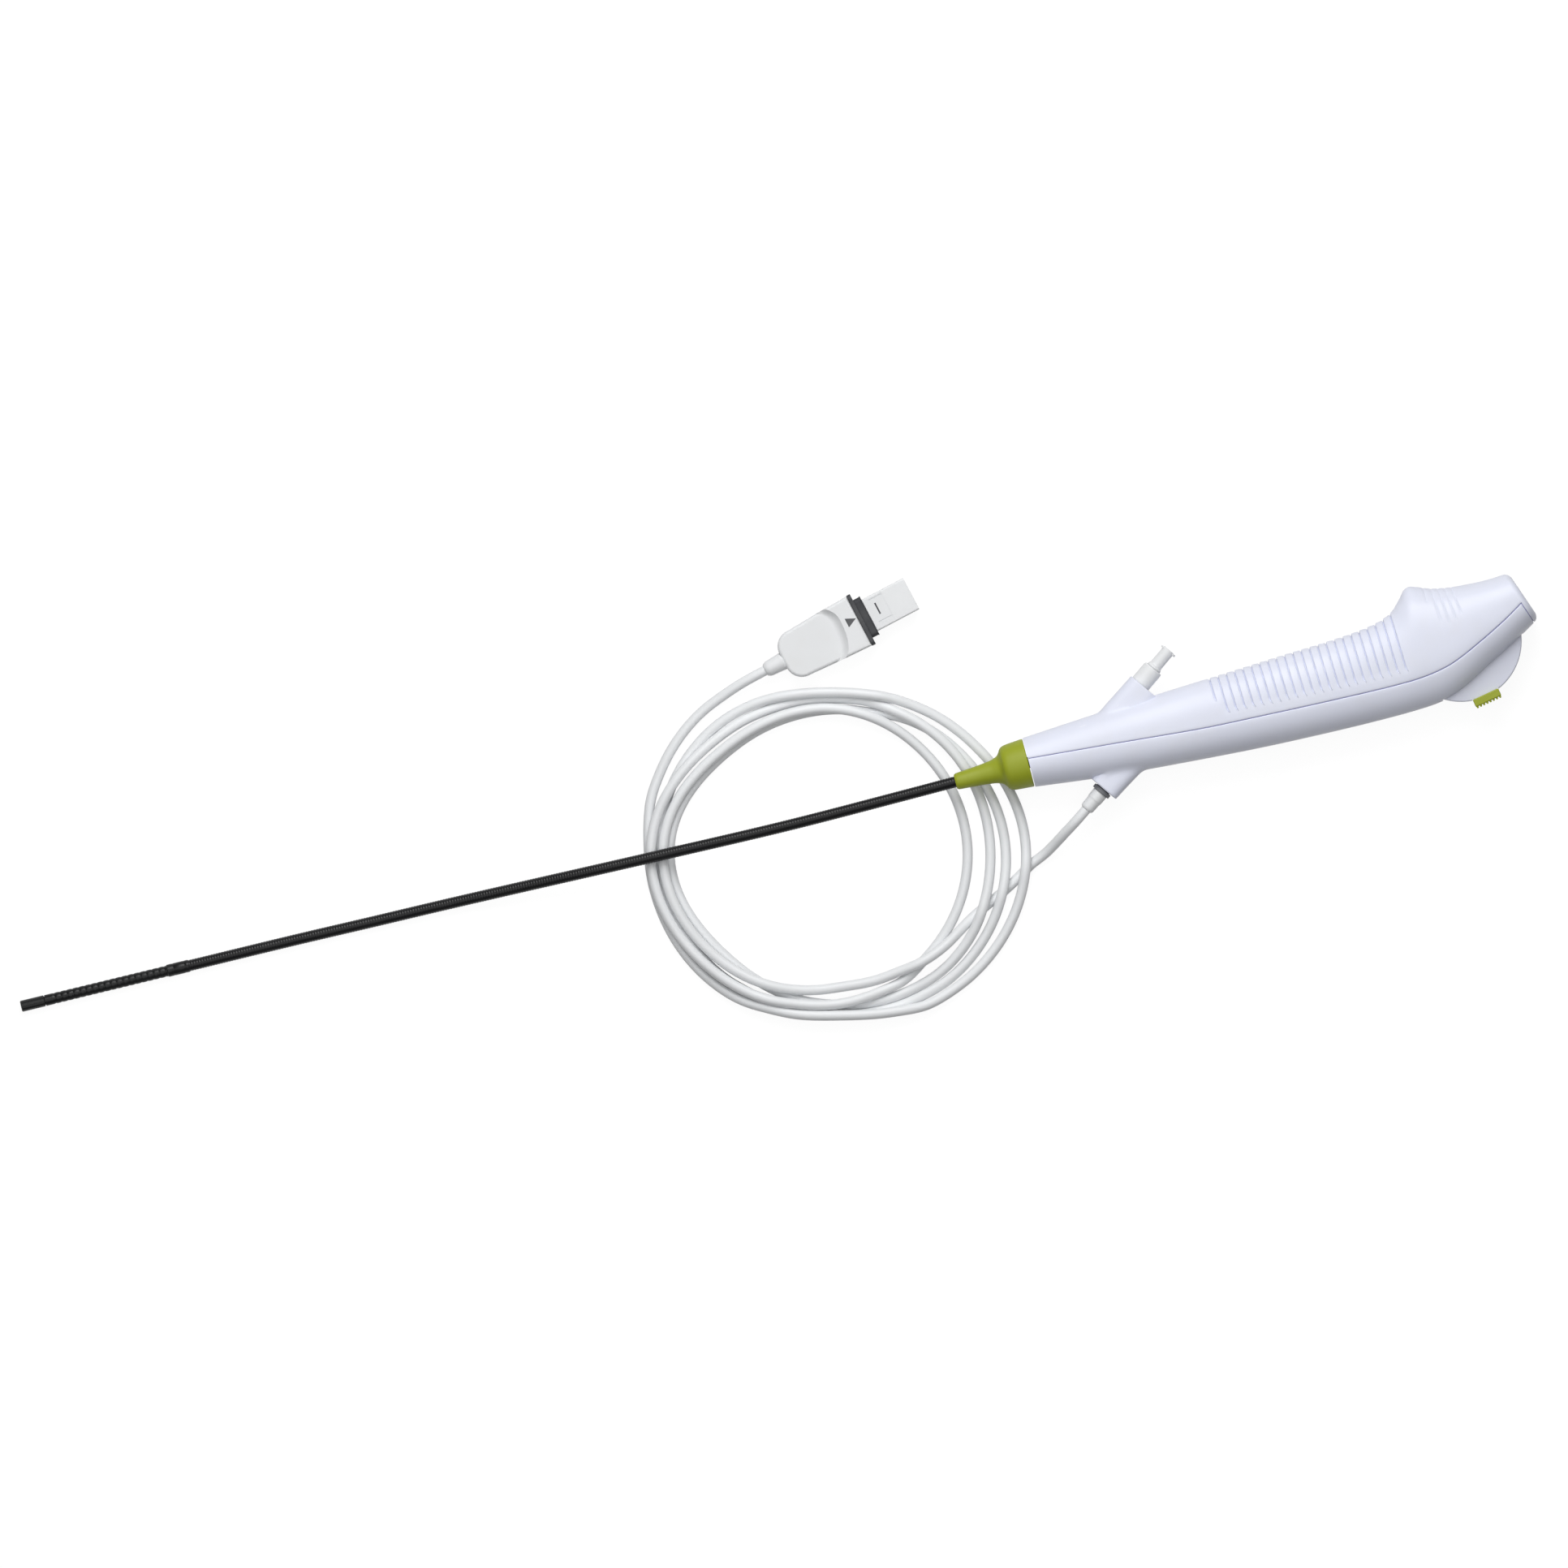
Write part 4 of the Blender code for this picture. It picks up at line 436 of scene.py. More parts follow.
# a bar along X with rounded long edges and rounded rims
def barShape(start, end, width, height, corner, edge=0.0, steps=5):
    outline = []
    for turn, sideY, sideZ in ((0, 1, 1), (90, -1, 1), (180, -1, -1), (270, 1, -1)):
        middle = (sideY * (width / 2 - corner), sideZ * (height / 2 - corner))
        outline += arcPoints(corner, turn, turn + 90, steps, middle)
    shape = slabShape(outline, start, end, edge)
    bmesh.ops.transform(shape, matrix=Matrix(((0, 0, 1, 0), (1, 0, 0, 0), (0, 1, 0, 0), (0, 0, 0, 1))),
                        verts=shape.verts)
    bmesh.ops.recalc_face_normals(shape, faces=shape.faces)
    return shape


def boxShape(low, high):
    outline = [(low[0], low[1]), (high[0], low[1]), (high[0], high[1]), (low[0], high[1])]
    return slabShape(outline, low[2], high[2])


def standingRod(low, high, radius, sides=48, at=(0.0, 0.0)):
    return slabShape(arcPoints(radius, 0.0, 360.0 - 360.0 / sides, sides - 1, at), low, high)


def loftShape(rings):
    shape = bmesh.new()
    grid = [[shape.verts.new(point) for point in ring] for ring in rings]
    for ring, following in zip(grid, grid[1:]):
        for i in range(len(ring)):
            j = (i + 1) % len(ring)
            shape.faces.new((ring[i], ring[j], following[j], following[i]))
    shape.faces.new(grid[0])
    shape.faces.new(grid[-1])
    bmesh.ops.recalc_face_normals(shape, faces=shape.faces)
    return shape


def movedShape(shape, matrix):
    bmesh.ops.transform(shape, matrix=matrix, verts=shape.verts)
    return shape


def joined(shapes):
    whole = bmesh.new()
    for shape in shapes:
        copies = {vert: whole.verts.new(vert.co) for vert in shape.verts}
        for face in shape.faces:
            whole.faces.new([copies[vert] for vert in face.verts])
        shape.free()
    return whole


def scratchObject(shape):
    mesh = bpy.data.meshes.new('scratch')
    shape.to_mesh(mesh)
    shape.free()
    return placedObject('scratch', mesh)


# cuts, joins or keeps what the tool covers; both are closed
def combined(shape, tool, operation='DIFFERENCE'):
    base, other = scratchObject(shape), scratchObject(tool)
    change = base.modifiers.new('change', 'BOOLEAN')
    change.object, change.operation, change.solver = other, operation, 'MANIFOLD'
    bpy.context.view_layer.update()
    result = bmesh.new()
    result.from_object(base, bpy.context.evaluated_depsgraph_get())
    for thing in (base, other):
        mesh = thing.data
        bpy.data.objects.remove(thing)
        bpy.data.meshes.remove(mesh)
    return result


# the plain mesh that an object's modifiers make of it
def evaluatedMesh(thing, name):
    bpy.context.view_layer.update()
    mesh = bpy.data.meshes.new_from_object(thing.evaluated_get(bpy.context.evaluated_depsgraph_get()))
    mesh.name = name
    return mesh


# puts a shape in its place as a piece of the object, with its finish, body and nodes; a flat piece's
# normals keep its flat faces flat beside their rounded rims
def finishedPiece(name, shape, where, finish, body='scope', stands=(), sharp=32.0, ride=True, flat=False):
    bmesh.ops.remove_doubles(shape, verts=shape.verts, dist=1e-5)
    bmesh.ops.transform(shape, matrix=Matrix.Scale(mm, 4) @ frames[where], verts=shape.verts)
    mesh = bpy.data.meshes.new(name)
    shape.to_mesh(mesh)
    shape.free()
    mesh.shade_smooth()
    mesh.set_sharp_from_angle(angle=math.radians(sharp))
    mesh.materials.append(finishes[finish])
    piece = placedObject(name, mesh)
    if flat:
        even = piece.modifiers.new('even', 'WEIGHTED_NORMAL')
        even.keep_sharp = True
        piece.data = evaluatedMesh(piece, name)
        piece.modifiers.remove(even)
    if ride:
        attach(piece, body)
    if stands:
        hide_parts(*stands)
    return piece


# the height at x of a smooth curve through (x, height) points, level past its ends
def smoothValue(points, x):
    if x <= points[0][0]:
        return points[0][1]
    if x >= points[-1][0]:
        return points[-1][1]
    at = max(i for i in range(len(points) - 1) if points[i][0] <= x)
    slopes = []
    for i in (at, at + 1):
        before, after = points[max(i - 1, 0)], points[min(i + 1, len(points) - 1)]
        slopes.append((after[1] - before[1]) / (after[0] - before[0]))
    span = points[at + 1][0] - points[at][0]
    t = (x - points[at][0]) / span
    rise = points[at + 1][1] - points[at][1]
    curve = slopes[0] * span * t * (1 - t) ** 2 - slopes[1] * span * t * t * (1 - t)
    return points[at][1] + rise * t * t * (3 - 2 * t) + curve


def ease(value):
    value = min(max(value, 0.0), 1.0)
    return value * value * (3 - 2 * value)


# points along a smooth curve through the given ones, at even steps of its first columns
def throughPoints(points, step, even=2):
    points = np.asarray(points, float)
    ends = np.vstack([2 * points[0] - points[1], points, 2 * points[-1] - points[-2]])
    curve = []
    for before, here, there, after in zip(ends, ends[1:], ends[2:], ends[3:]):
        gaps = [np.linalg.norm(v) ** 0.5 for v in (here - before, there - here, after - there)]
        leave = (here - before) / gaps[0] - (there - before) / (gaps[0] + gaps[1]) + (there - here) / gaps[1]
        reach = (there - here) / gaps[1] - (after - here) / (gaps[1] + gaps[2]) + (after - there) / gaps[2]
        for share in np.linspace(0, 1, 24, endpoint=False):
            s2, s3 = share * share, share ** 3
            curve.append((2 * s3 - 3 * s2 + 1) * here + (s3 - 2 * s2 + share) * leave * gaps[1]
                         + (3 * s2 - 2 * s3) * there + (s3 - s2) * reach * gaps[1])
    curve = np.array(curve + [points[-1]])
    run = np.r_[0, np.cumsum(np.linalg.norm(np.diff(curve[:, :even], axis=0), axis=1))]
    wanted = np.linspace(0, run[-1], max(2, round(run[-1] / step)) + 1)
    return np.stack([np.interp(wanted, run, curve[:, i]) for i in range(curve.shape[1])], 1)


def geometryTree(name, inputs):
    tree = bpy.data.node_groups.new(name, 'GeometryNodeTree')
    tree.is_modifier = True
    tree.interface.new_socket('Geometry', in_out='INPUT', socket_type='NodeSocketGeometry')
    for label, kind, value in inputs:
        socket = tree.interface.new_socket(label, in_out='INPUT', socket_type='NodeSocket' + kind)
        socket.default_value = value
    tree.interface.new_socket('Material', in_out='INPUT', socket_type='NodeSocketMaterial')
    tree.interface.new_socket('Geometry', in_out='OUTPUT', socket_type='NodeSocketGeometry')
    return tree, addNode(tree, 'NodeGroupInput').outputs


def finishedTree(tree, geometry, material):
    real = addNode(tree, 'GeometryNodeRealizeInstances', {'Geometry': geometry})
    paint = addNode(tree, 'GeometryNodeSetMaterial', {'Geometry': real.outputs['Geometry'], 'Material': material})
    addNode(tree, 'NodeGroupOutput', {'Geometry': paint.outputs['Geometry']})
    return tree


# a curve that carries a value of its own points
def captured(tree, curve, label, value):
    node = tree.nodes.new('GeometryNodeCaptureAttribute')
    node.capture_items.new('FLOAT', label)
    tree.links.new(curve, node.inputs['Geometry'])
    tree.links.new(value, node.inputs[label])
    return node.outputs


# a tube along a curve, with fine rings where their depth isn't nought, and a map along it
def buildSweptTube():
    tree, given = geometryTree('sweptTube', [
        ('Radius', 'Float', 0.002), ('Step', 'Float', 0.001), ('Ring Pitch', 'Float', 0.001),
        ('Ring Depth', 'Float', 0.0), ('Sides', 'Int', 16)])
    smooth = addNode(tree, 'GeometryNodeCurveSplineType', {'Curve': given['Geometry']}, spline_type='CATMULL_ROM')
    even = addNode(tree, 'GeometryNodeResampleCurve', {'Curve': smooth.outputs['Curve'], 'Length': given['Step']},
                   mode='LENGTH')
    run = addNode(tree, 'GeometryNodeSplineParameter').outputs['Length']
    along = captured(tree, even.outputs['Curve'], 'Along', run)
    circle = addNode(tree, 'GeometryNodeCurvePrimitiveCircle', {'Resolution': given['Sides'], 'Radius': 1.0})
    turn = addNode(tree, 'GeometryNodeSplineParameter').outputs['Factor']
    around = captured(tree, circle.outputs['Curve'], 'Round', turn)
    phase = mathNode(tree, 'DIVIDE', run, given['Ring Pitch'])
    wave = mathNode(tree, 'COSINE', mathNode(tree, 'MULTIPLY', phase, math.tau))
    width = mathNode(tree, 'MULTIPLY_ADD', wave, given['Ring Depth'], given['Radius'])
    sweep = addNode(tree, 'GeometryNodeCurveToMesh', {
        'Curve': along['Geometry'], 'Profile Curve': around['Geometry'], 'Scale': width, 'Fill Caps': True})
    chart = addNode(tree, 'ShaderNodeCombineXYZ', {'X': along['Along'], 'Y': around['Round']})
    keep = addNode(tree, 'GeometryNodeStoreNamedAttribute', {
        'Geometry': sweep.outputs['Mesh'], 'Name': 'UVMap', 'Value': chart.outputs[0]},
        data_type='FLOAT2', domain='CORNER')
    return finishedTree(tree, keep.outputs['Geometry'], given['Material'])


# copies of a form in a straight row
def buildFormRow():
    tree, given = geometryTree('formRow', [('Count', 'Int', 8), ('Step', 'Vector', (0.0, 0.0, 0.0))])
    line = addNode(tree, 'GeometryNodeMeshLine', {'Count': given['Count'], 'Offset': given['Step']})
    copies = addNode(tree, 'GeometryNodeInstanceOnPoints', {
        'Points': line.outputs['Mesh'], 'Instance': given['Geometry']})
    return finishedTree(tree, copies.outputs['Instances'], given['Material'])


trees = {'sweptTube': buildSweptTube(), 'formRow': buildFormRow()}


# the plain mesh that a tree makes of a source object, which goes
def grownMesh(name, source, tree, values):
    grower = source.modifiers.new(tree, 'NODES')
    grower.node_group = trees[tree]
    names = {item.name: item.identifier for item in trees[tree].interface.items_tree
             if item.item_type == 'SOCKET' and item.in_out == 'INPUT'}
    for label, value in values.items():
        grower[names[label]] = value
    mesh = evaluatedMesh(source, name)
    bpy.data.objects.remove(source)
    return mesh


# a swept tube through points in millimetres, as an object that still has to ride
def tubeAlong(name, route, finish, radius, step, sides, pitch=1.0, depth=0.0):
    line = bpy.data.curves.new(name, 'CURVE')
    line.dimensions = '3D'
    spline = line.splines.new('POLY')
    spline.points.add(len(route) - 1)
    for point, at in zip(spline.points, inMetres(route)):
        point.co = (*at, 1.0)
    mesh = grownMesh(name, placedObject(name + 'Line', line), 'sweptTube', {
        'Radius': radius * mm, 'Step': step * mm, 'Ring Pitch': pitch * mm, 'Ring Depth': depth * mm,
        'Sides': sides, 'Material': finishes[finish]})
    mesh.shade_smooth()
    mesh.set_sharp_from_angle(angle=math.radians(50.0))
    return placedObject(name, mesh)


def inMetres(route):
    return [tuple(frames['table'] @ Vector(point) * mm) for point in route]


def routeLength(points):
    return float(np.linalg.norm(np.diff(np.asarray(points), axis=0), axis=1).sum())


cable = {
    'radius': 2.4, 'step': 3.0, 'meshStep': 2.0, 'sides': 20, 'apart': 0.05, 'heldFirst': 13, 'heldLast': 30,
    'start': 12.9, 'end': -51.5,  # ahead of the cable's exit and of the plug's middle
    'ownNeighbours': 8,           # points along the cable that never push each other
    'sameLevel': 0.7, 'alongside': 0.93, 'spacingRounds': 40, 'liftRounds': 300, 'sag': 0.02,
    'centre': (1030, 1048),       # of the turns, seen from above
    # each turn, at every 45 degrees from its lowest place round by the left: distance and level
    'turns': [
        [(169, 0), (196, 2), (213.5, 2), (185.3, 2), (175, 2), (162.6, 0), (162.5, 0), (171, 0)],
        [(190, 2), (212, 2), (228.4, 2), (200.8, 1), (187, 0), (188.8, 2), (190.5, 0), (198, 0)],
        [(191, 0), (188, 0), (205.5, 0), (180, 0), (174.5, 0), (191.5, 0), (209.5, 0), (212, 0)],
        [(202, 0), (210, 0), (218, 0), (213.5, 0), (195, 2), (210.7, 0), (234.5, 0), (226.5, 0)],
        [(203, 2), (222.7, 0), (230.5, 0)],
    ],
    # x, y and the share of the drop from the handle's axis that is still to come
    'lead': [(13.5, -32.4, 0.949), (6.5, -36.8, 0.662), (0.5, -40.6, 0.309), (-5.0, -43.7, 0.081),
             (-9.5, -45.6, 0.007), (-12.9, -47.1, 0.0)],
    # a place in the view and its level
    'crossing': [(1246, 1090, -1), (1205, 1125, -1), (1154, 1174, 2), (1100, 1203, 1)],
    'tail': [(-181.6, 19.5, 2.4), (-177.5, 29.5, 2.4), (-170.8, 39.5, 2.4), (-162.5, 49.0, 2.4),
             (-153.0, 57.0, 2.4), (-143.5, 62.8, 2.6), (-133.5, 67.0, 3.6), (-123.0, 70.6, 5.3)],
}


# where the nose lies in the view, 1932 across, and what one step across it is along and beside the handle
view = {'across': 1271, 'down': 941, 'along': 0.37029, 'beside': -0.09784, 'lower': 0.9}


# a place on the table from its place in the view
def tablePlace(across, down):
    dx, dy = across - view['across'], down - view['down']
    along, beside = view['along'], view['beside']
    return along * dx + beside * dy, beside * dx - along * dy - view['lower']


def turnPoints():
    marks = [mark for turn in cable['turns'] for mark in turn]
    angles = np.arange(len(marks)) * 45.0 + 90
    fine = np.arange(angles[0], angles[-1] + 1, 7.5)
    polar = throughPoints([(a, *s) for a, s in zip(angles, marks)], 1.0)
    radius = np.interp(fine, polar[:, 0], polar[:, 1])
    level = np.interp(fine, polar[:, 0], polar[:, 2])
    rows = []
    for a, r, z in zip(np.radians(fine), radius, level):
        x, y = tablePlace(cable['centre'][0] + r * math.cos(a), cable['centre'][1] + r * math.sin(a))
        rows.append((x, y, z, cable['radius']))
    return rows


# the place from above of what lies ahead of a frame's middle
def aheadOf(name, ahead):
    x, y, _, turn = places[name]
    return x + ahead * math.cos(math.radians(turn)), y + ahead * math.sin(math.radians(turn))


# strands on one level that lie too close move apart sideways
def spacedStrands(flat, order, held, away, apart):
    level = np.abs(order[:, None] - order[None, :]) < cable['sameLevel']
    for _ in range(cable['spacingRounds']):
        gap = flat[:, None, :] - flat[None, :, :]
        dist = np.sqrt((gap ** 2).sum(2))
        i, j = np.nonzero(away & level & (dist < apart))
        heading = np.gradient(flat, axis=0)
        heading /= np.linalg.norm(heading, axis=1)[:, None]
        alike = np.abs((heading[i] * heading[j]).sum(1)) > cable['alongside']
        i, j = i[alike], j[alike]
        push, hits = np.zeros_like(flat), np.zeros(len(flat))
        way = gap[i, j] / np.maximum(dist[i, j], 1e-6)[:, None]
        np.add.at(push, i, way * (apart - dist[i, j])[:, None] * 0.5)
        np.add.at(hits, i, 1)
        push /= np.maximum(hits, 1)[:, None]
        for _ in range(6):
            push[1:-1] = (push[:-2] + 2 * push[1:-1] + push[2:]) / 4
        push[held] = 0
        flat = flat + push
    for _ in range(3):
        middle = (flat[:-2] + 2 * flat[1:-1] + flat[2:]) / 4
        flat[1:-1] = np.where(held[1:-1, None], flat[1:-1], middle)
    return flat


# each crossing lifts the upper strand over the lower in a long low hump
def crossingHeights(flat, order, floor, held, away, apart):
    gap = np.sqrt(((flat[:, None, :] - flat[None, :, :]) ** 2).sum(2))
    i, j = np.nonzero(away & (gap < apart))
    over = (order[i] >= order[j]) & ~((np.abs(order[i] - order[j]) < 1e-9) & (i > j))
    i, j = i[over], j[over]
    rise = np.sqrt(apart ** 2 - gap[i, j] ** 2)
    height = floor.copy()
    for _ in range(cable['liftRounds']):
        need = floor.copy()
        np.maximum.at(need, i, height[j] + rise)
        free = height.copy()
        free[1:-1] = (height[:-2] + height[2:]) / 2 - cable['sag']
        height = np.maximum(need, free)
        height[held] = floor[held]
    return height


def cableRoute():
    rest, plugHeight = cable['radius'], places['plug'][2]
    knots = [(*aheadOf('cableExit', cable['start']), -1, axisHeight)]
    knots += [(x, y, -1, rest + (axisHeight - rest) * share) for x, y, share in cable['lead']]
    knots += [(*tablePlace(px, py), level, rest) for px, py, level in cable['crossing']]
    knots += turnPoints()
    knots += [(x, y, 0, z) for x, y, z in cable['tail']]
    knots.append((*aheadOf('plug', cable['end'] - 5.0), 0, plugHeight - 0.4))
    knots.append((*aheadOf('plug', cable['end']), 0, plugHeight))
    route = throughPoints(knots, cable['step'])
    order, floor = route[:, 2], np.maximum(route[:, 3], rest)
    apart = 2 * rest + cable['apart']
    index = np.arange(len(route))
    held = (index < cable['heldFirst']) | (index >= len(route) - cable['heldLast'])
    away = np.abs(index[:, None] - index[None, :]) > cable['ownNeighbours']
    flat = spacedStrands(route[:, :2].copy(), order, held, away, apart)
    return np.column_stack([flat, crossingHeights(flat, order, floor, held, away, apart)])


cablePath = cableRoute()
freeCable = tubeAlong('freeCable', cablePath, 'cable_jacket', cable['radius'], cable['meshStep'], cable['sides'])
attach(freeCable, 'scope')
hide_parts('cable_lead', 'cable_coil', 'cable_tail')
print('stage: cable', round(routeLength(cablePath)), 'mm')


# the route's third number is the share of the drop from the handle's axis that is still to come
shaft = {
    'radius': 2.66, 'ringPitch': 1.28, 'ringDepth': 0.075, 'sides': 18, 'rest': 3.0, 'step': 5.0,
    'start': -1.0, 'end': (8.0, 0.3),  # behind the handle's nose, and behind the sleeve
    'route': [
        (-18.0, 0.0, 1.0), (-38.0, 0.0, 1.0), (-62.0, 0.0, 0.954), (-119.0, 0.3, 0.838),
        (-182.0, 2.1, 0.715), (-215.0, 3.2, 0.569), (-250.0, 4.4, 0.277), (-285.0, 5.5, 0.069),
        (-320.0, 6.4, 0.008), (-355.0, 7.4, 0.0), (-388.0, 8.1, 0.0),
    ],
    # the sleeve between tube and links: ahead and radius, from its front and from its back
    'sleeveLength': 10.3, 'sleeveOverlap': 0.5,
    'sleeveFront': [
        (-2.5, 0.0), (-2.5, 1.55), (0.9, 1.55), (0.9, 2.12), (0.12, 2.14), (0.12, 2.5), (-0.45, 2.95),
        (-2.7, 2.95), (-2.9, 2.86), (-3.4, 2.86), (-3.6, 2.95)],
    'sleeveBack': [
        (2.6, 2.95), (2.4, 2.88), (2.0, 2.88), (1.8, 2.95), (0.5, 2.95), (0.0, 2.72), (0.0, 0.0)],
}


def shaftRoute():
    rest, sleeve = shaft['rest'], shaft['sleeveLength']
    knots = [(shaft['start'], 0.0, axisHeight)]
    knots += [(x, y, rest + (axisHeight - rest) * share) for x, y, share in shaft['route']]
    knots += [(*aheadOf('shaft', -sleeve - behind), rest) for behind in shaft['end']]
    return throughPoints(knots, shaft['step'], 3)


shaftPath = shaftRoute()
insertionShaft = tubeAlong('insertionShaft', shaftPath, 'shaftJacket', shaft['radius'], shaft['ringPitch'] / 4,
                           shaft['sides'], shaft['ringPitch'], shaft['ringDepth'])
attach(insertionShaft, 'scope')
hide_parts('insertion_tube')
print('stage: insertion tube', round(routeLength(shaftPath)), 'mm')


handle = {
    'fingerEdge': [
        (-1.0, 11.9), (33.0, 14.0), (70.0, 15.8), (124.0, 18.3), (160.0, 19.9), (175.0, 22.0), (183.0, 25.3),
        (187.5, 29.6), (190.3, 33.1), (193.3, 34.4), (197.2, 33.2), (204.0, 30.7), (216.0, 28.8), (233.0, 28.2),
        (256.0, 30.5)],
    'palmEdge': [
        (-1.0, -11.9), (33.0, -15.9), (95.0, -20.6), (130.0, -22.3), (165.0, -23.1), (188.0, -22.7),
        (198.0, -21.3), (208.0, -17.7), (221.0, -10.8), (232.0, -5.3), (250.0, 5.0)],
    'sideWidths': [(-1.0, 11.9), (40.0, 13.6), (90.0, 16.0)],
    'parting': [
        (-6.0, 2.3), (40.0, -1.7), (81.6, -5.4), (109.0, -6.8), (145.0, -8.3), (177.7, -9.1), (192.7, -8.3),
        (205.0, -5.6), (220.6, 1.2), (233.8, 7.9), (242.8, 13.3)],
    'squareness': 0.4, 'squareAt': 80.0,   # how far the round nose's section grows square, and where
    'noseX': -1.0, 'endX': 250.6, 'endSlope': 0.351, 'slantFrom': 196.0, 'endRounding': 3.0, 'wall': 2.0,
    'humpFrom': 172.0, 'humpPinch': 0.22, 'capDrop': 16.0,
    'gap': 0.34, 'grooveWidth': 0.8, 'grooveDepth': 0.42, 'lipInset': 0.62, 'lipWidth': 1.2,
    'fingerSamples': 34, 'palmSamples': 16, 'partingSamples': 125, 'cutReach': 80.0, 'pastEnd': 20.0,
}
# where rings stand along the handle: from, to and gap, or offsets from a rib and from the end
stations = {
    'nose': (86.0, 1.6), 'beforeRibs': (-3.4, -2.0),
    'rib': (-1.3, -0.8, -0.46, -0.23, 0.0, 0.23, 0.46, 0.85, 1.4, 2.1), 'afterRibs': 7.4, 'hump': (196.0, 1.3),
    'headRibs': (196.2, 222.0, 0.55), 'head': (223.0, 245.6, 1.3), 'end': (-1.2, -0.75, -0.5, -0.3, -0.14, 0.0),
    'besideParting': (0.75, 0.5, 0.3, 0.14, 0.0, -0.14, -0.3, -0.5, -0.75),
    'hollow': [
        2.0, 9.0, 16.0, 33.0, 46.0, 60.0, 75.0, 90.0, 110.0, 130.0, 150.0, 162.0, 170.0, 177.0, 182.0,
        186.0, 190.0, 193.0, 197.0, 201.0, 205.0, 210.0, 216.0, 222.0, 228.0, 235.0],
}
ribs = {
    'count': 23, 'pitch': 4.11, 'first': 91.2, 'depth': 0.85, 'width': 0.48, 'drop': 0.42,
    'margin': 4.6, 'hook': 0.5, 'tilt': 0.036, 'tiltTop': 20.0, 'fade': 1.6, 'firstShorter': 6.5,
    'span': (86.0, 4.0, 190.0, 5.0),   # start, its rise, end, its fall
    'headFirst': 199.9, 'headPitch': 3.87, 'headDepth': 0.36, 'headReach': (24.0, 13.0, 11.3, 12.2, 14.6),
    'headTilt': 0.04, 'headTiltTop': 30.0, 'headWidth': 0.42, 'headFade': 3.0, 'headMargin': 6.0,
    'headSpan': (193.0, 4.0, 226.0, 8.0),
}


def partingY(x):
    return smoothValue(handle['parting'], x)


# the parting line from above: along the side, then down beside the end face
def partingLine():
    first, last = handle['parting'][0], handle['parting'][-1]
    line = [Vector((x, partingY(x))) for x in np.linspace(first[0], last[0], handle['partingSamples'])]
    line.append(line[-1] + Vector((handle['endSlope'], -1.0)) * handle['capDrop'])
    return line


def offsetLine(line, offset):
    moved = []
    for i, point in enumerate(line):
        sides = []
        for near, far in ((i - 1, i), (i, i + 1)):
            if near >= 0 and far < len(line):
                run = (line[far] - line[near]).normalized()
                sides.append(Vector((-run.y, run.x)))
        normal = sum(sides, Vector((0.0, 0.0))).normalized()
        moved.append(point + normal * offset / normal.dot(sides[0]))
    return moved


def within(x, start, rise, end, fall):
    return ease((x - start) / rise) * ease((end - x) / fall)


# how far along the handle a ring leans at this height, so that the ribs hook at their ends
def ribLean(x, y, part):
    grip = within(x, *ribs['span']) * ease((y - part) / ribs['margin'])
    hook = ribs['hook'] * ease(1.0 - (y - part - ribs['margin']) / ribs['fade'])
    head = within(x, *ribs['headSpan']) * ease((y - part) / ribs['headMargin'])
    lean = ribs['tilt'] * (ribs['tiltTop'] - y) + hook
    return grip * lean + head * ribs['headTilt'] * max(ribs['headTiltTop'] - y, 0.0)


# how far the ribbed skin lies below the plain one
def ribInset(x, y, part):
    inset = 0.0
    place = (x - ribs['first']) / ribs['pitch']
    if -1.0 < place < ribs['count'] - 0.5:
        aside = (place - round(place)) * ribs['pitch']
        reach = ease((y - part - ribs['margin'] - (ribs['firstShorter'] if place < 0.5 else 0.0)) / ribs['fade'])
        # each band falls slowly towards the groove at its end, and the next one starts high
        slope = (1 + aside / ribs['pitch']) ** 2 if aside < 0 else max(1 - aside / ribs['width'], 0.0)
        if aside > 0:
            slope = max(slope, (aside / ribs['pitch']) ** 2)
        valley = ribs['depth'] * max(1 - abs(aside) / ribs['width'], 0.0)
        inset = reach * (valley + ribs['drop'] * slope) * ease(place + 1.0)
    place = (x - ribs['headFirst']) / ribs['headPitch']
    if -0.5 < place < len(ribs['headReach']) - 0.5:
        near = abs(place - round(place)) * ribs['headPitch']
        reach = ease((y - ribs['headReach'][round(place)]) / ribs['headFade'])
        inset += reach * ribs['headDepth'] * math.exp(-(near / ribs['headWidth']) ** 2)
    return inset


# the soft edges of the two halves along their parting line
def grooveInset(x, y):
    width = handle['grooveWidth']
    last = handle['parting'][-1]
    if x <= last[0] + 0.2:
        near = abs(y - partingY(x)) / math.hypot(1.0, partingY(x + 0.5) - partingY(x - 0.5))
    else:
        near = width
    run = (last[1] - y - handle['endSlope'] * (last[0] - x)) / (1 + handle['endSlope'] ** 2)
    if 0 < run < handle['capDrop']:
        aside = abs((x - last[0]) + handle['endSlope'] * (y - last[1])) / math.hypot(1.0, handle['endSlope'])
        near = min(near, aside)
    return handle['grooveDepth'] * max(0.0, 1.0 - near / width) ** 2


# where a ring that leans with the end face meets a line that is given along the handle
def onSlant(points, x, slope, rounds):
    y = smoothValue(points, x)
    for _ in range(rounds):
        y = smoothValue(points, x - slope * y)
    return y


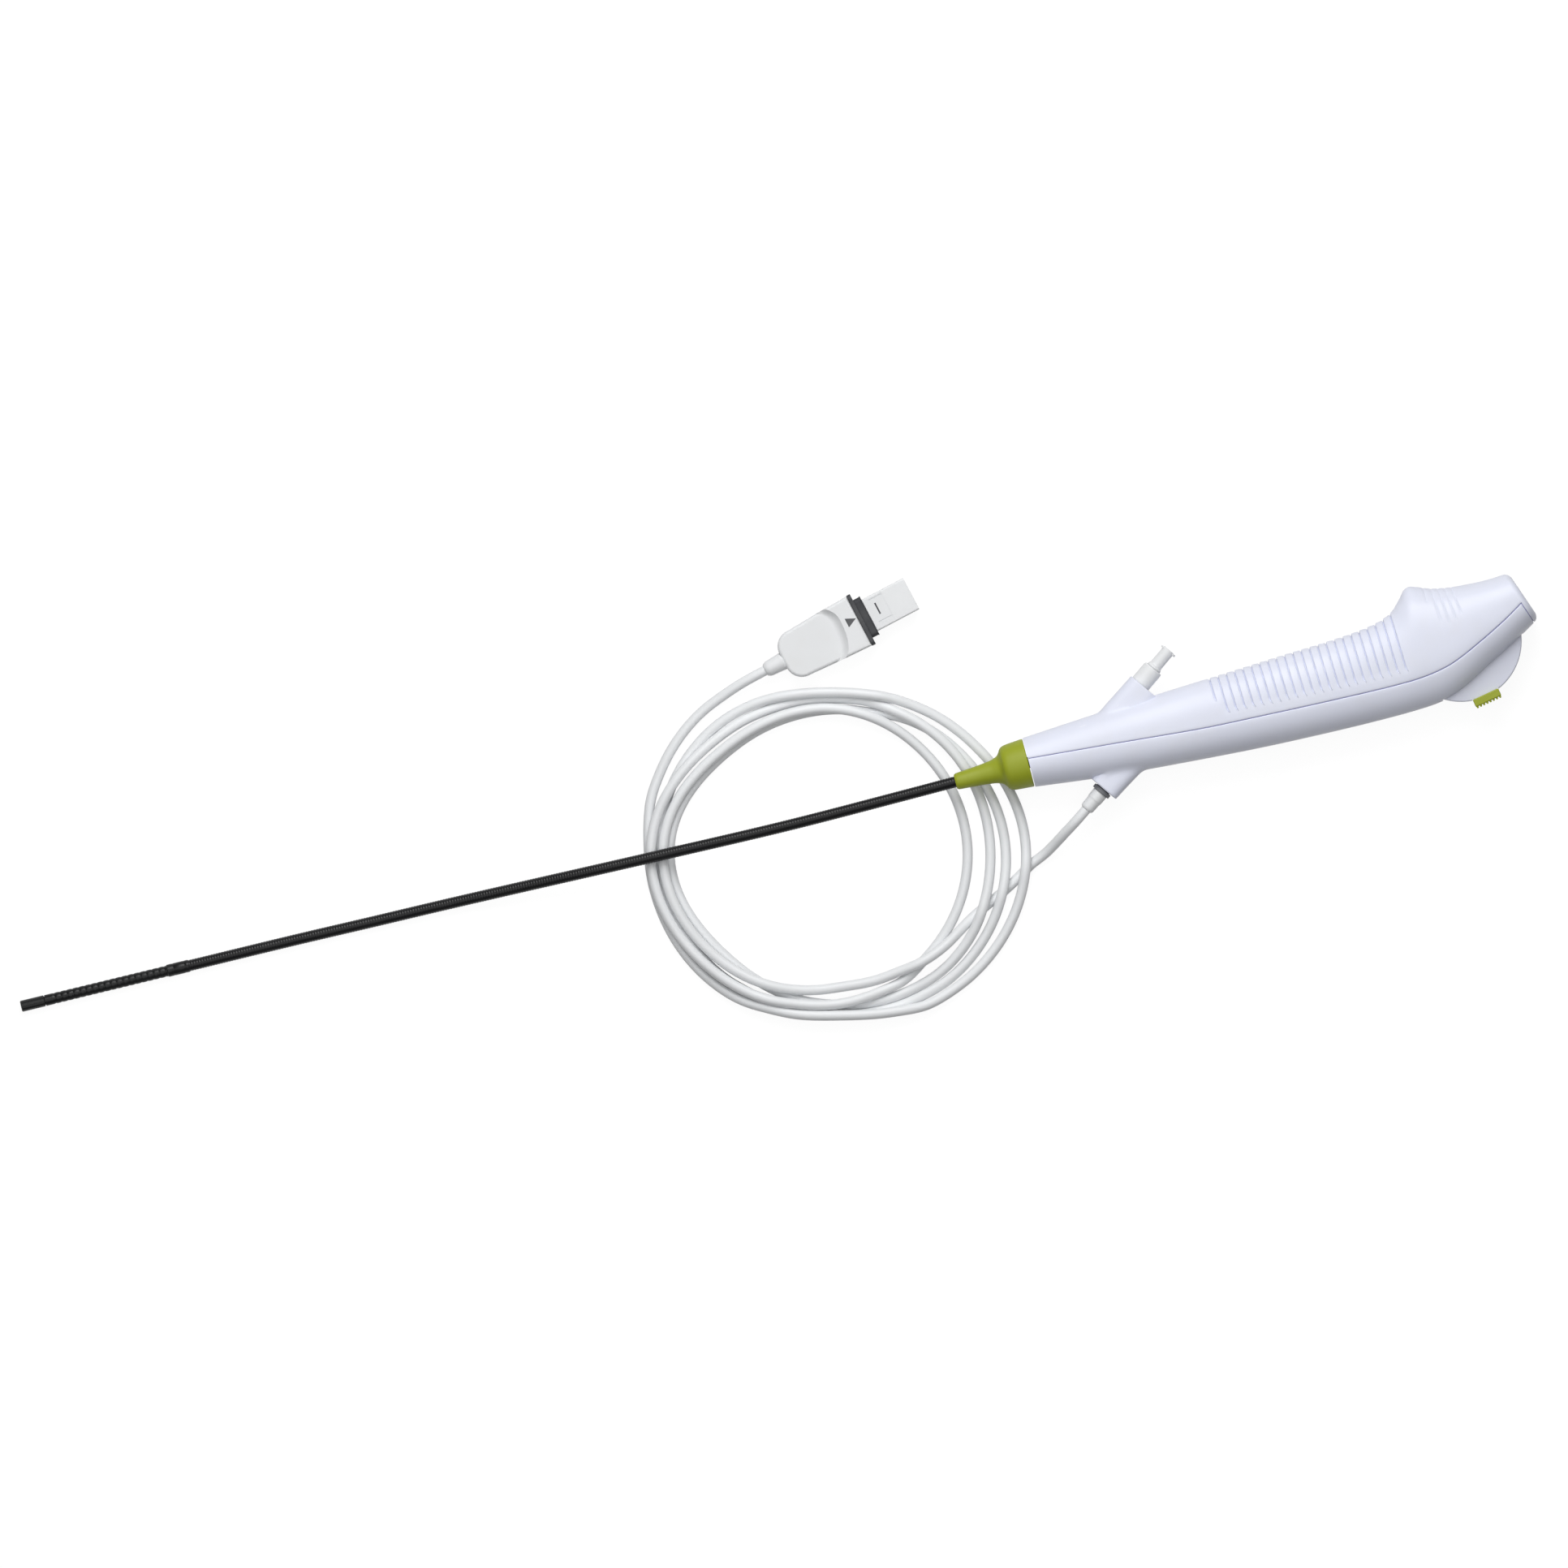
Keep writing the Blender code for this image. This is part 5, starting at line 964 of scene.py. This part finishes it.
# one ring round the handle, its points close together at the parting line
def handleRing(x, inset, ribbed):
    lean = ease((x - handle['slantFrom']) / (handle['endX'] - handle['slantFrom']))
    slope = handle['endSlope'] * lean
    finger, palm = (onSlant(handle[edge], x, slope, 6) for edge in ('fingerEdge', 'palmEdge'))
    part = onSlant(handle['parting'], x, slope, 8)
    base = min(finger, smoothValue(handle['fingerEdge'], handle['humpFrom']) + 2.0)
    finger, palm = finger - inset, palm + inset
    half = smoothValue(handle['sideWidths'], x) - inset
    middle, reach = (finger + palm) / 2, (finger - palm) / 2
    power = 2.0 / (2.0 + handle['squareness'] * min(max(x / handle['squareAt'], 0.0), 1.0))
    steep = math.hypot(1.0, partingY(x + 0.5) - partingY(x - 0.5))

    def angleAt(y):
        share = min(max((y - middle) / reach, -0.995), 0.995)
        return math.acos(math.copysign(abs(share) ** (1 / power), share))

    near = [angleAt(part + offset * steep) for offset in stations['besideParting']]
    top = [near[0] * i / handle['fingerSamples'] for i in range(handle['fingerSamples'])]
    count = handle['palmSamples']
    bottom = [near[-1] + (math.pi - near[-1]) * i / count for i in range(1, count + 1)]
    halfRing = []
    for angle in top + near + bottom:
        cosine, sine = math.cos(angle), math.sin(angle)
        y = middle + reach * math.copysign(abs(cosine) ** power, cosine)
        z = half * abs(sine) ** power
        if y > base and x > handle['humpFrom']:
            z *= 1 - handle['humpPinch'] * ((y - base) / (finger - base + 1.0)) ** 2
        depth, leaned = 0.0, 0.0
        if ribbed:
            depth = ribInset(x, y, part) + grooveInset(x - slope * y, y)
            leaned = ribLean(x, y, part)
        away = Vector(((y - middle) / reach ** 2, z / half ** 2)).normalized() * depth
        halfRing.append((x + leaned - slope * (y - away.x), y - away.x, z - away.y))
    mirrored = [(px, py, -pz) for px, py, pz in reversed(halfRing[1:-1])]
    return halfRing + mirrored


def handleStations():
    middles = [ribs['first'] + i * ribs['pitch'] for i in range(ribs['count'] + 1)]
    rows = [*np.arange(handle['noseX'], *stations['nose']), *[middles[0] + share for share in stations['beforeRibs']]]
    rows += [middle + share for middle in middles for share in stations['rib']]
    for span in ((middles[-2] + stations['afterRibs'], *stations['hump']), stations['headRibs'], stations['head']):
        rows += list(np.arange(*span))
    end = handle['parting'][-1][0] + handle['endSlope'] * handle['parting'][-1][1]
    return [float(row) for row in rows + [end + offset for offset in stations['end']]]


def handleEnd(inset, count=10):
    rings = []
    for angle in np.linspace(0.0, 90.0, count):
        turn = math.radians(angle)
        x = handle['endX'] - inset - handle['endRounding'] * (1 - math.sin(turn))
        rings.append(handleRing(x, inset + handle['endRounding'] * (1 - math.cos(turn)), inset == 0.0))
    return rings


# everything on one side of the parting line
def sideBlock(offset, farY):
    path = offsetLine(partingLine(), offset)
    reach = handle['endX'] + handle['pastEnd']
    if farY < 0:
        outline = path + [Vector((path[-1].x, farY)), Vector((path[0].x, farY))]
    else:
        outline = path + [Vector((reach, path[-1].y)), Vector((reach, farY)), Vector((path[0].x, farY))]
    return slabShape([tuple(p) for p in outline], -handle['cutReach'] / 2, handle['cutReach'] / 2)


# what leaves each half: reach up, down and towards the viewer at its face and its root, and a bore
branches = {
    'port': {'face': (5.8, 10.6, 7.8), 'root': (6.4, 10.0, 7.6), 'length': 22.0, 'seam': (35.0, 13.0, 0.0),
             'span': 15.0, 'bore': (-24.0, 2.0, 5.1)},
    'cableExit': {'face': (7.6, 7.9, 7.0), 'root': (9.2, 8.6, 8.0), 'length': 26.0, 'seam': (45.0, -15.5, 0.0),
                  'span': 13.0, 'bore': (-30.0, 2.0, 3.9)},
}
housing = {
    'squareness': 0.62, 'seamReach': 3.6, 'seamRounds': 30, 'seamEdge': 1.1, 'seamAngle': 0.42,
    'noseBore': (-3.0, 4.0, 6.0), 'axleBore': 13.5, 'bossRadius': 5.0, 'bossEnd': 14.3, 'bossStart': 10.4,
    'post': (9.6, 14.2), 'postPlace': (143.5, 3.3),
}


# a branch with a flat end face and flat sides
def flaredBranch(face, root, length):
    power = housing['squareness']
    sections = [(0.0, 0.7), (-0.12, 0.3), (-0.4, 0.05), (-0.9, 0.0)]
    sections += [(-length * i / 14, 0.0) for i in range(1, 15)] + [(-length - 1.5, 1.2), (-length - 3.0, 3.5)]
    rings = []
    for x, rim in sections:
        share = (-x / length) ** 1.4
        up, down, side = (a + (b - a) * share - rim for a, b in zip(face, root))
        ring = []
        for i in range(96):
            cosine, sine = math.cos(math.tau * i / 96), math.sin(math.tau * i / 96)
            across = math.copysign(abs(cosine) ** power, cosine)
            outwards = math.copysign(abs(sine) ** power, sine)
            ring.append((x, (up - down) / 2 + (up + down) / 2 * across, outwards * side))
        rings.append(ring)
    return loftShape(rings)


# smooths the crease where a branch leaves the handle, inside a ball round its root
def filletedSeam(shape, centre, span):
    middle, reach = Vector(centre), housing['seamReach']

    def triangulated(least):
        bmesh.ops.triangulate(shape, faces=[f for f in shape.faces if len(f.verts) > least
                                            and (f.calc_center_median() - middle).length < span + 6])

    triangulated(0)
    for _ in range(3):
        long = [e for e in shape.edges if e.calc_length() > housing['seamEdge']
                and ((e.verts[0].co + e.verts[1].co) / 2 - middle).length < span]
        bmesh.ops.subdivide_edges(shape, edges=long, cuts=1)
        triangulated(3)
    shape.normal_update()
    crease = [(e.verts[0].co + e.verts[1].co) / 2 for e in shape.edges if (e.verts[0].co - middle).length < span
              and e.is_manifold and e.calc_face_angle(0.0) > housing['seamAngle']]
    tree = kdtree.KDTree(len(crease))
    for i, co in enumerate(crease):
        tree.insert(co, i)
    tree.balance()
    soft = []
    for vert in shape.verts:
        inside = span + reach - (vert.co - middle).length
        near = tree.find(vert.co)[2] if inside > 0 else None
        if near is not None and near < reach:
            soft.append((vert, ease(1.0 - near / reach) * ease(inside / 5.0)))
    for _ in range(housing['seamRounds']):
        moves = []
        for vert, share in soft:
            around = [e.other_vert(vert).co for e in vert.link_edges]
            moves.append((sum(around, Vector()) / len(around) - vert.co) * 0.6 * share)
        for (vert, share), move in zip(soft, moves):
            vert.co += move
    return shape


def handleSolid():
    rings = [handleRing(x, 0.0, True) for x in handleStations()]
    return loftShape(rings + handleEnd(0.0))


def handleHollow():
    rows = stations['hollow'] + [handle['endX'] - handle['wall']]
    return loftShape([handleRing(x, handle['wall'], False) for x in rows])


# the tongue behind the parting line, that closes the gap between the halves; its dark lavender colour is painted
# shade of the gap
def partingLip():
    line, half = partingLine(), handle['lipWidth'] / 2
    outline = offsetLine(line, half) + offsetLine(line, -half)[::-1]
    rows = np.arange(handle['noseX'] + 0.8, handle['endX'] - 2.0, 3.0)
    rings = [handleRing(float(x), handle['lipInset'], False) for x in rows] + handleEnd(handle['lipInset'], 5)
    strip = slabShape([tuple(p) for p in outline], -handle['cutReach'] / 2, handle['cutReach'] / 2)
    return combined(combined(loftShape(rings), strip, 'INTERSECT'), handleHollow())


wheel = {
    'radius': 28.7, 'thickness': 7.0, 'from': -150.0, 'to': 18.0, 'hub': 8.0, 'hubFrom': 78.0, 'hubTo': 150.0,
    'edge': 0.7, 'gap': 0.6, 'padAngle': -80.0, 'padLength': 13.3, 'padWidth': 12.0, 'padHeight': 2.6, 'seat': 1.2,
    'teeth': 8, 'toothHeight': 0.9, 'bore': 2.7, 'axle': places['wheel'][:2],
}


# one half of the handle with its branch, posts and holes; the side is 1 for the fingers, -1 for the palm
def housingHalf(name, side, posts, hole):
    branch = branches[name]
    way = turnedTo(*places[name][:2], 0.0, places[name][3])
    neck = movedShape(flaredBranch(branch['face'], branch['root'], branch['length']), way)
    shell = filletedSeam(combined(handleSolid(), neck, 'UNION'), branch['seam'], branch['span'])
    shell = combined(shell, sideBlock(side * handle['gap'] / 2, -side * handle['cutReach']))
    shell = combined(shell, handleHollow())
    if posts:
        shell = combined(shell, joined(posts), 'UNION')
    return combined(shell, joined([hole, movedShape(turnedRod(*branch['bore'], 56), way),
                                   turnedRod(*housing['noseBore'], 56)]))


def fingerShell():
    radius, axle = housing['bossRadius'], wheel['axle']
    posts = [standingRod(-housing['bossEnd'], -wheel['thickness'] / 2 - wheel['gap'], radius, 40, axle),
             standingRod(housing['bossStart'], housing['bossEnd'], radius, 40, axle),
             standingRod(*housing['post'], radius, 40, housing['postPlace'])]
    hole = standingRod(-housing['axleBore'], housing['axleBore'], wheel['bore'], 40, axle)
    return housingHalf('port', 1, posts, hole)


def palmShell():
    half = wheel['thickness'] / 2 + wheel['gap']
    slot = standingRod(-half, half, wheel['radius'] + wheel['gap'], 128, wheel['axle'])
    return housingHalf('cableExit', -1, [], slot)


finishedPiece('fingerHousing', fingerShell(), 'handle', 'handle_white', stands=['front_shell'], sharp=38.0)
finishedPiece('palmHousing', palmShell(), 'handle', 'handle_white', stands=['back_shell'], sharp=38.0)
# the lip's colour is painted shade inside the parting gap
finishedPiece('partingLip', partingLip(), 'handle', 'lipGapShade')
print('stage: handle housing')


relief = {
    'profile': [
        (1.2, 11.6), (8.0, 11.1), (10.6, 10.7), (12.1, 9.7), (12.9, 8.1), (14.2, 6.6), (17.5, 5.5),
        (24.0, 4.75), (30.0, 4.3), (34.9, 3.95), (35.7, 3.5)],
    'rim': [(0.3, 10.6), (0.3, 11.3), (0.65, 11.62)], 'tipRim': (0.25, 3.3), 'bore': 3.0, 'softness': 1.2,
}


def reliefShape():
    nose = handle['noseX']
    outside = softened([(nose - ahead, radius) for ahead, radius in relief['rim'] + relief['profile']],
                       relief['softness'], 5)
    start, tip = nose - relief['rim'][0][0], nose - relief['profile'][-1][0] - relief['tipRim'][0]
    end = [(tip, relief['tipRim'][1]), (tip, relief['bore'])]
    return turnedShape([(start, relief['bore'])] + outside + end, 96, closed=True)


finishedPiece('limeRelief', reliefShape(), 'handle', 'lime_rubber', stands=['bend_relief'])


# profiles of (ahead, radius); the lug is a bar's start, end, width, height, corner and edge
port = {
    'collar': [(-8.0, 3.4), (-8.0, 4.9), (9.4, 4.9), (9.4, 3.4)],
    'stem': [
        (-8.0, 0.0), (-8.0, 3.1), (9.2, 3.1), (9.5, 3.75), (10.4, 3.7), (10.9, 3.1), (17.6, 3.05), (20.9, 3.1),
        (20.9, 0.0)],
    'lug': (19.7, 20.7, 8.2, 3.8, 1.6, 0.15), 'bore': [(-10.0, 0.0), (-10.0, 1.9), (22.0, 2.3), (22.0, 0.0)],
}


def luerShape():
    shape = softTurned(port['stem'], 0.5, 3, 64)
    shape = combined(shape, barShape(*port['lug']), 'UNION')
    return combined(shape, turnedShape(port['bore'], 48))


finishedPiece('luerPort', luerShape(), 'port', 'pale_plastic', stands=['luer_port'])
finishedPiece('portCollar', softTurned(port['collar'], 1.0, 5, 72, True), 'port', 'pale_plastic',
              stands=['port_collar'])
print('stage: relief and port')


cableExit = {
    'gland': [(-8.0, 0.0), (-8.0, 3.6), (0.3, 3.6), (0.3, 4.65), (2.3, 4.65), (2.3, 3.5), (2.3, 0.0)],
    'boot': [
        (2.25, 0.0), (2.25, 3.75), (6.5, 3.7), (7.1, 3.45), (11.6, 3.3), (12.6, 2.85), (12.7, 2.3), (13.1, 2.3),
        (13.1, 0.0)],
}

finishedPiece('cableGland', softTurned(cableExit['gland'], 0.4, 4, 64), 'cableExit', 'glandGrey',
              stands=['cable_gland'])
cableBoot = finishedPiece('cableBoot', softTurned(cableExit['boot'], 0.5, 4, 64), 'cableExit', 'pale_plastic',
                          stands=['cable_boot'])


def wheelOutline():
    outline = arcPoints(wheel['radius'], wheel['from'], wheel['to'], 120)
    return outline + arcPoints(wheel['hub'], wheel['hubFrom'], wheel['hubTo'], 20)


def wheelShape():
    half, side = wheel['thickness'] / 2, wheel['padLength'] / 2 + 0.05
    low, high = wheel['radius'] - wheel['seat'], wheel['radius'] + 5.0
    shape = slabShape(wheelOutline(), -half, half, wheel['edge'], 4)
    pocket = boxShape((-side, low, -half - 2.0), (side, high, half + 2.0))
    shape = combined(shape, movedShape(pocket, turnedTo(0.0, 0.0, 0.0, wheel['padAngle'] - 90.0)))
    return combined(shape, standingRod(-half - 2.0, half + 2.0, wheel['bore'], 48))


# the pad's block in its own frame: X along the rim, Y outwards
def padShape():
    low = wheel['radius'] - wheel['seat'] + 0.02
    high = wheel['radius'] + wheel['padHeight'] + 0.05
    left, half = -wheel['padLength'] / 2, wheel['padWidth'] / 2
    outline = softened([(left, low), (left, high), (-left, high), (-left, low)], 0.7, 4, True)
    return slabShape(outline, -half, half, 0.6, 3)


# a row of rounded teeth across the pad, grown in place
def padTeeth():
    pitch, half = wheel['padLength'] / wheel['teeth'], wheel['padWidth'] / 2 - 0.5
    top, rise = wheel['radius'] + wheel['padHeight'], wheel['toothHeight']
    slope = [(0.38, -0.4), (0.36, 0.0), (0.26, rise * 0.8), (0.14, rise)]
    tooth = [((0.5 - aside) * pitch, top + up) for aside, up in slope]
    tooth += [((0.5 + aside) * pitch, top + up) for aside, up in reversed(slope)]
    shape = slabShape([(x - wheel['padLength'] / 2, y) for x, y in tooth], -half, half, 0.16, 2)
    mesh = grownMesh('teeth', scratchObject(shape), 'formRow', {
        'Count': wheel['teeth'], 'Step': (pitch, 0.0, 0.0), 'Material': finishes['lime_rubber']})
    row = bmesh.new()
    row.from_mesh(mesh)
    bpy.data.meshes.remove(mesh)
    return row


# the wheel's finish is a darker copy of the handle's white, as painted shade
finishedPiece('controlWheel', wheelShape(), 'wheel', 'wheelShadedWhite', 'lever', ['control_wheel'],
              flat=True)
frames['pad'] = frames['wheel'] @ turnedTo(0.0, 0.0, 0.0, wheel['padAngle'] - 90.0)
finishedPiece('thumbPad', combined(padShape(), padTeeth(), 'UNION'), 'pad', 'lime_rubber', 'lever',
              ['thumb_pad'], flat=True)
print('stage: wheel and pad')


bending = {
    'hinges': 19, 'firstHinge': 1.0, 'pitch': 2.97, 'radius': 2.6, 'wall': 0.28, 'swell': 0.19, 'sides': 40,
    'proud': 0.04, 'inside': 0.06, 'blendShare': 0.46,
    'end': 1.0 + 18 * 2.97 + 4.7,
}


def coverPiece(index):
    pitch, hinge = bending['pitch'], bending['firstHinge'] + index * bending['pitch']
    start = 0.0 if index == 0 else hinge - pitch / 2
    end = bending['end'] if index == bending['hinges'] - 1 else hinge + pitch / 2
    outside = []
    for ahead in np.linspace(start, end, max(9, round((end - start) / 0.3))):
        away = min(abs(ahead - hinge) / pitch, 0.5)
        dip = 0.5 + 0.5 * math.cos(math.tau * away)
        outside.append((ahead, bending['radius'] + bending['proud'] - bending['swell'] * dip ** 3))
    inner = bending['radius'] - bending['wall'] - bending['inside']
    inside = [(ahead, inner) for ahead in np.linspace(end, start, 5)]
    shape = turnedShape(outside + inside, bending['sides'], closed=True)
    name = f'coverFold{index + 1:02d}'
    piece = finishedPiece(name, shape, 'shaft', 'tube_black', ride=False, sharp=60.0)
    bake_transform(piece)
    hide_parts('bending_cover')
    return piece


# the shaft runs a little way into the sleeve
def sleeveShape():
    back = -shaft['sleeveLength'] - shaft['sleeveOverlap']
    return turnedShape(shaft['sleeveFront'] + [(back + ahead, radius) for ahead, radius in shaft['sleeveBack']], 48)


coverFolds = [coverPiece(index) for index in range(bending['hinges'])]
shaftSleeve = finishedPiece('shaftSleeve', sleeveShape(), 'shaft', 'tube_black', stands=['joint_sleeve'])
print('stage: bending section')


# the flange is a bar's start, end, width, height, corner and edge; seal and shroud are width, height, length
plug = {
    'half': 6.7, 'front': -1.1, 'back': -41.7, 'width': 26.2, 'tailWidth': 21.0, 'corner': 8.0, 'edge': 1.6,
    'cheek': (16.0, 0.55), 'tailOut': 1.2,
    'sunk': 0.2, 'seam': 0.15, 'scoopDepth': 2.6,
    'scoop': [
        (-12.6, 13.2), (-10.9, 10.8), (-9.3, 8.6), (-8.5, 5.5), (-8.6, 1.5), (-9.0, -2.5), (-9.8, -6.0),
        (-11.2, -9.4), (-12.8, -11.6), (-14.6, -13.4)],
    'slope': [
        (-2.0, -7.0), (0.0, -4.6), (0.15, -3.6), (0.55, -2.6), (1.2, -1.7), (2.0, -0.8), (2.65, -0.2), (4.2, 1.2)],
    'flange': (-1.12, 0.8, 26.7, 13.4, 2.2, 0.25), 'seal': (20.6, 10.0, 3.0), 'shroud': (16.7, 8.8, 22.2),
    'step': 0.3, 'wall': 1.0, 'mark': [(-1.9, 1.8), (-6.8, 4.1), (-6.8, -0.5)],
    # a dark block just under the window, so that the slit reads dark: painted shade
    'latch': ((8.4, -2.6, 2.3), (10.2, 5.0, 3.3)),
    # along and across from the shroud's start, and how deep
    'window': (4.5, 5.25, -1.7, 4.1), 'grooves': [
        (2.6, 9.3, 6.2, 6.75, 0.35), (2.6, 9.3, -5.1, -4.55, 0.35), (9.3, 9.75, -10.0, 10.0, 0.25)],
    'boot': [
        (-41.2, 0.0), (-41.2, 3.6), (-42.0, 4.3), (-43.2, 4.1), (-49.2, 3.75), (-50.0, 3.55), (-51.2, 2.9),
        (-51.3, 2.3), (-51.7, 2.3), (-51.7, 0.0)],
}


def plugSlab(low, high):
    front, back, corner = plug['front'], plug['back'], plug['corner']
    side = [(front, plug['width'] / 2), (front - plug['cheek'][0], plug['width'] / 2 - plug['cheek'][1])]
    side += arcPoints(corner, 84.0, 180.0, 14, (back + corner, plug['tailWidth'] / 2 - corner + plug['tailOut']))
    return slabShape(side + [(x, -y) for x, y in reversed(side)], low, high, plug['edge'], 5)


# the hollow's step is a slope and not a wall
def plugTopShape():
    level, seam = plug['half'] - plug['scoopDepth'], plug['seam']
    back = plug['back'] - 6.0
    rings = []
    for rise, ahead in plug['slope']:
        bow = [(x + ahead, y, level + rise) for x, y in softened(plug['scoop'], 1.2, 3)]
        rings.append(bow + [(back, -15.0, level + rise), (back, 15.0, level + rise)])
    front = combined(plugSlab(seam, plug['half'] - plug['sunk']), loftShape(rings))
    return combined(front, plugSlab(seam, level), 'UNION')


def shroudShape():
    width, height, long = plug['shroud']
    start = plug['flange'][1] + plug['step'] + plug['seal'][2] + plug['step']
    innerY, innerZ = width / 2 - plug['wall'], height / 2 - plug['wall']
    near, far, low, high = plug['window']
    grooves = [boxShape((start + x0, y0, height / 2 - deep), (start + x1, y1, height))
               for x0, x1, y0, y1, deep in plug['grooves']]
    shape = barShape(start, start + long, width, height, 0.9, 0.22)
    for tool in (boxShape((start + 3.0, -innerY, -innerZ), (start + long + 2.0, innerY, innerZ)),
                 boxShape((start + near, low, 0.0), (start + far, high, height)), joined(grooves)):
        shape = combined(shape, tool)
    return shape


# the seal's collar, with a low lip at its front rim
def joinedSeal():
    width, height, long = plug['seal']
    start = plug['flange'][1]
    seal = barShape(start - 0.1, start + plug['step'] + long, width - 0.5, height - 0.5, 2.0, 0.2)
    return combined(seal, barShape(start + 0.1 + long, start + 0.62 + long, width, height, 2.2, 0.2), 'UNION')


def markShape():
    level = plug['half'] - plug['sunk']
    return slabShape(softened(plug['mark'], 0.2, 2, True), level - 0.5, level + 0.03)


for name, shape, finish, stands in (
        ('plugTop', plugTopShape(), 'pale_plastic', ['plug_top']),
        ('plugBase', plugSlab(plug['sunk'] - plug['half'], -plug['seam']), 'pale_plastic', ['plug_base']),
        ('plugMark', markShape(), 'dark_grey', ()),
        # the dark block behind the window is painted shade of the slit
        ('plugLatch', boxShape(*plug['latch']), 'dark_grey', ()),
        ('plugFlange', barShape(*plug['flange']), 'dark_grey', ['plug_flange']),
        ('plugSeal', joinedSeal(), 'seal_rubber', ['plug_seal']),
        ('plugShroud', shroudShape(), 'pale_plastic', ['plug_shroud'])):
    finishedPiece(name, shape, 'plug', finish, stands=stands, flat=True)
finishedPiece('plugBoot', softTurned(plug['boot'], 0.6, 4, 56), 'plug', 'pale_plastic', stands=['plug_boot'])
print('stage: plug')


slotOf = {entry['node']: entry['material_slot'] for entry in frame['record']['subparts']}
for name, node in frame['nodes'].items():
    for holder in node.material_slots:
        holder.material = finishes[slotOf[name]]
print('stage: inner pieces')
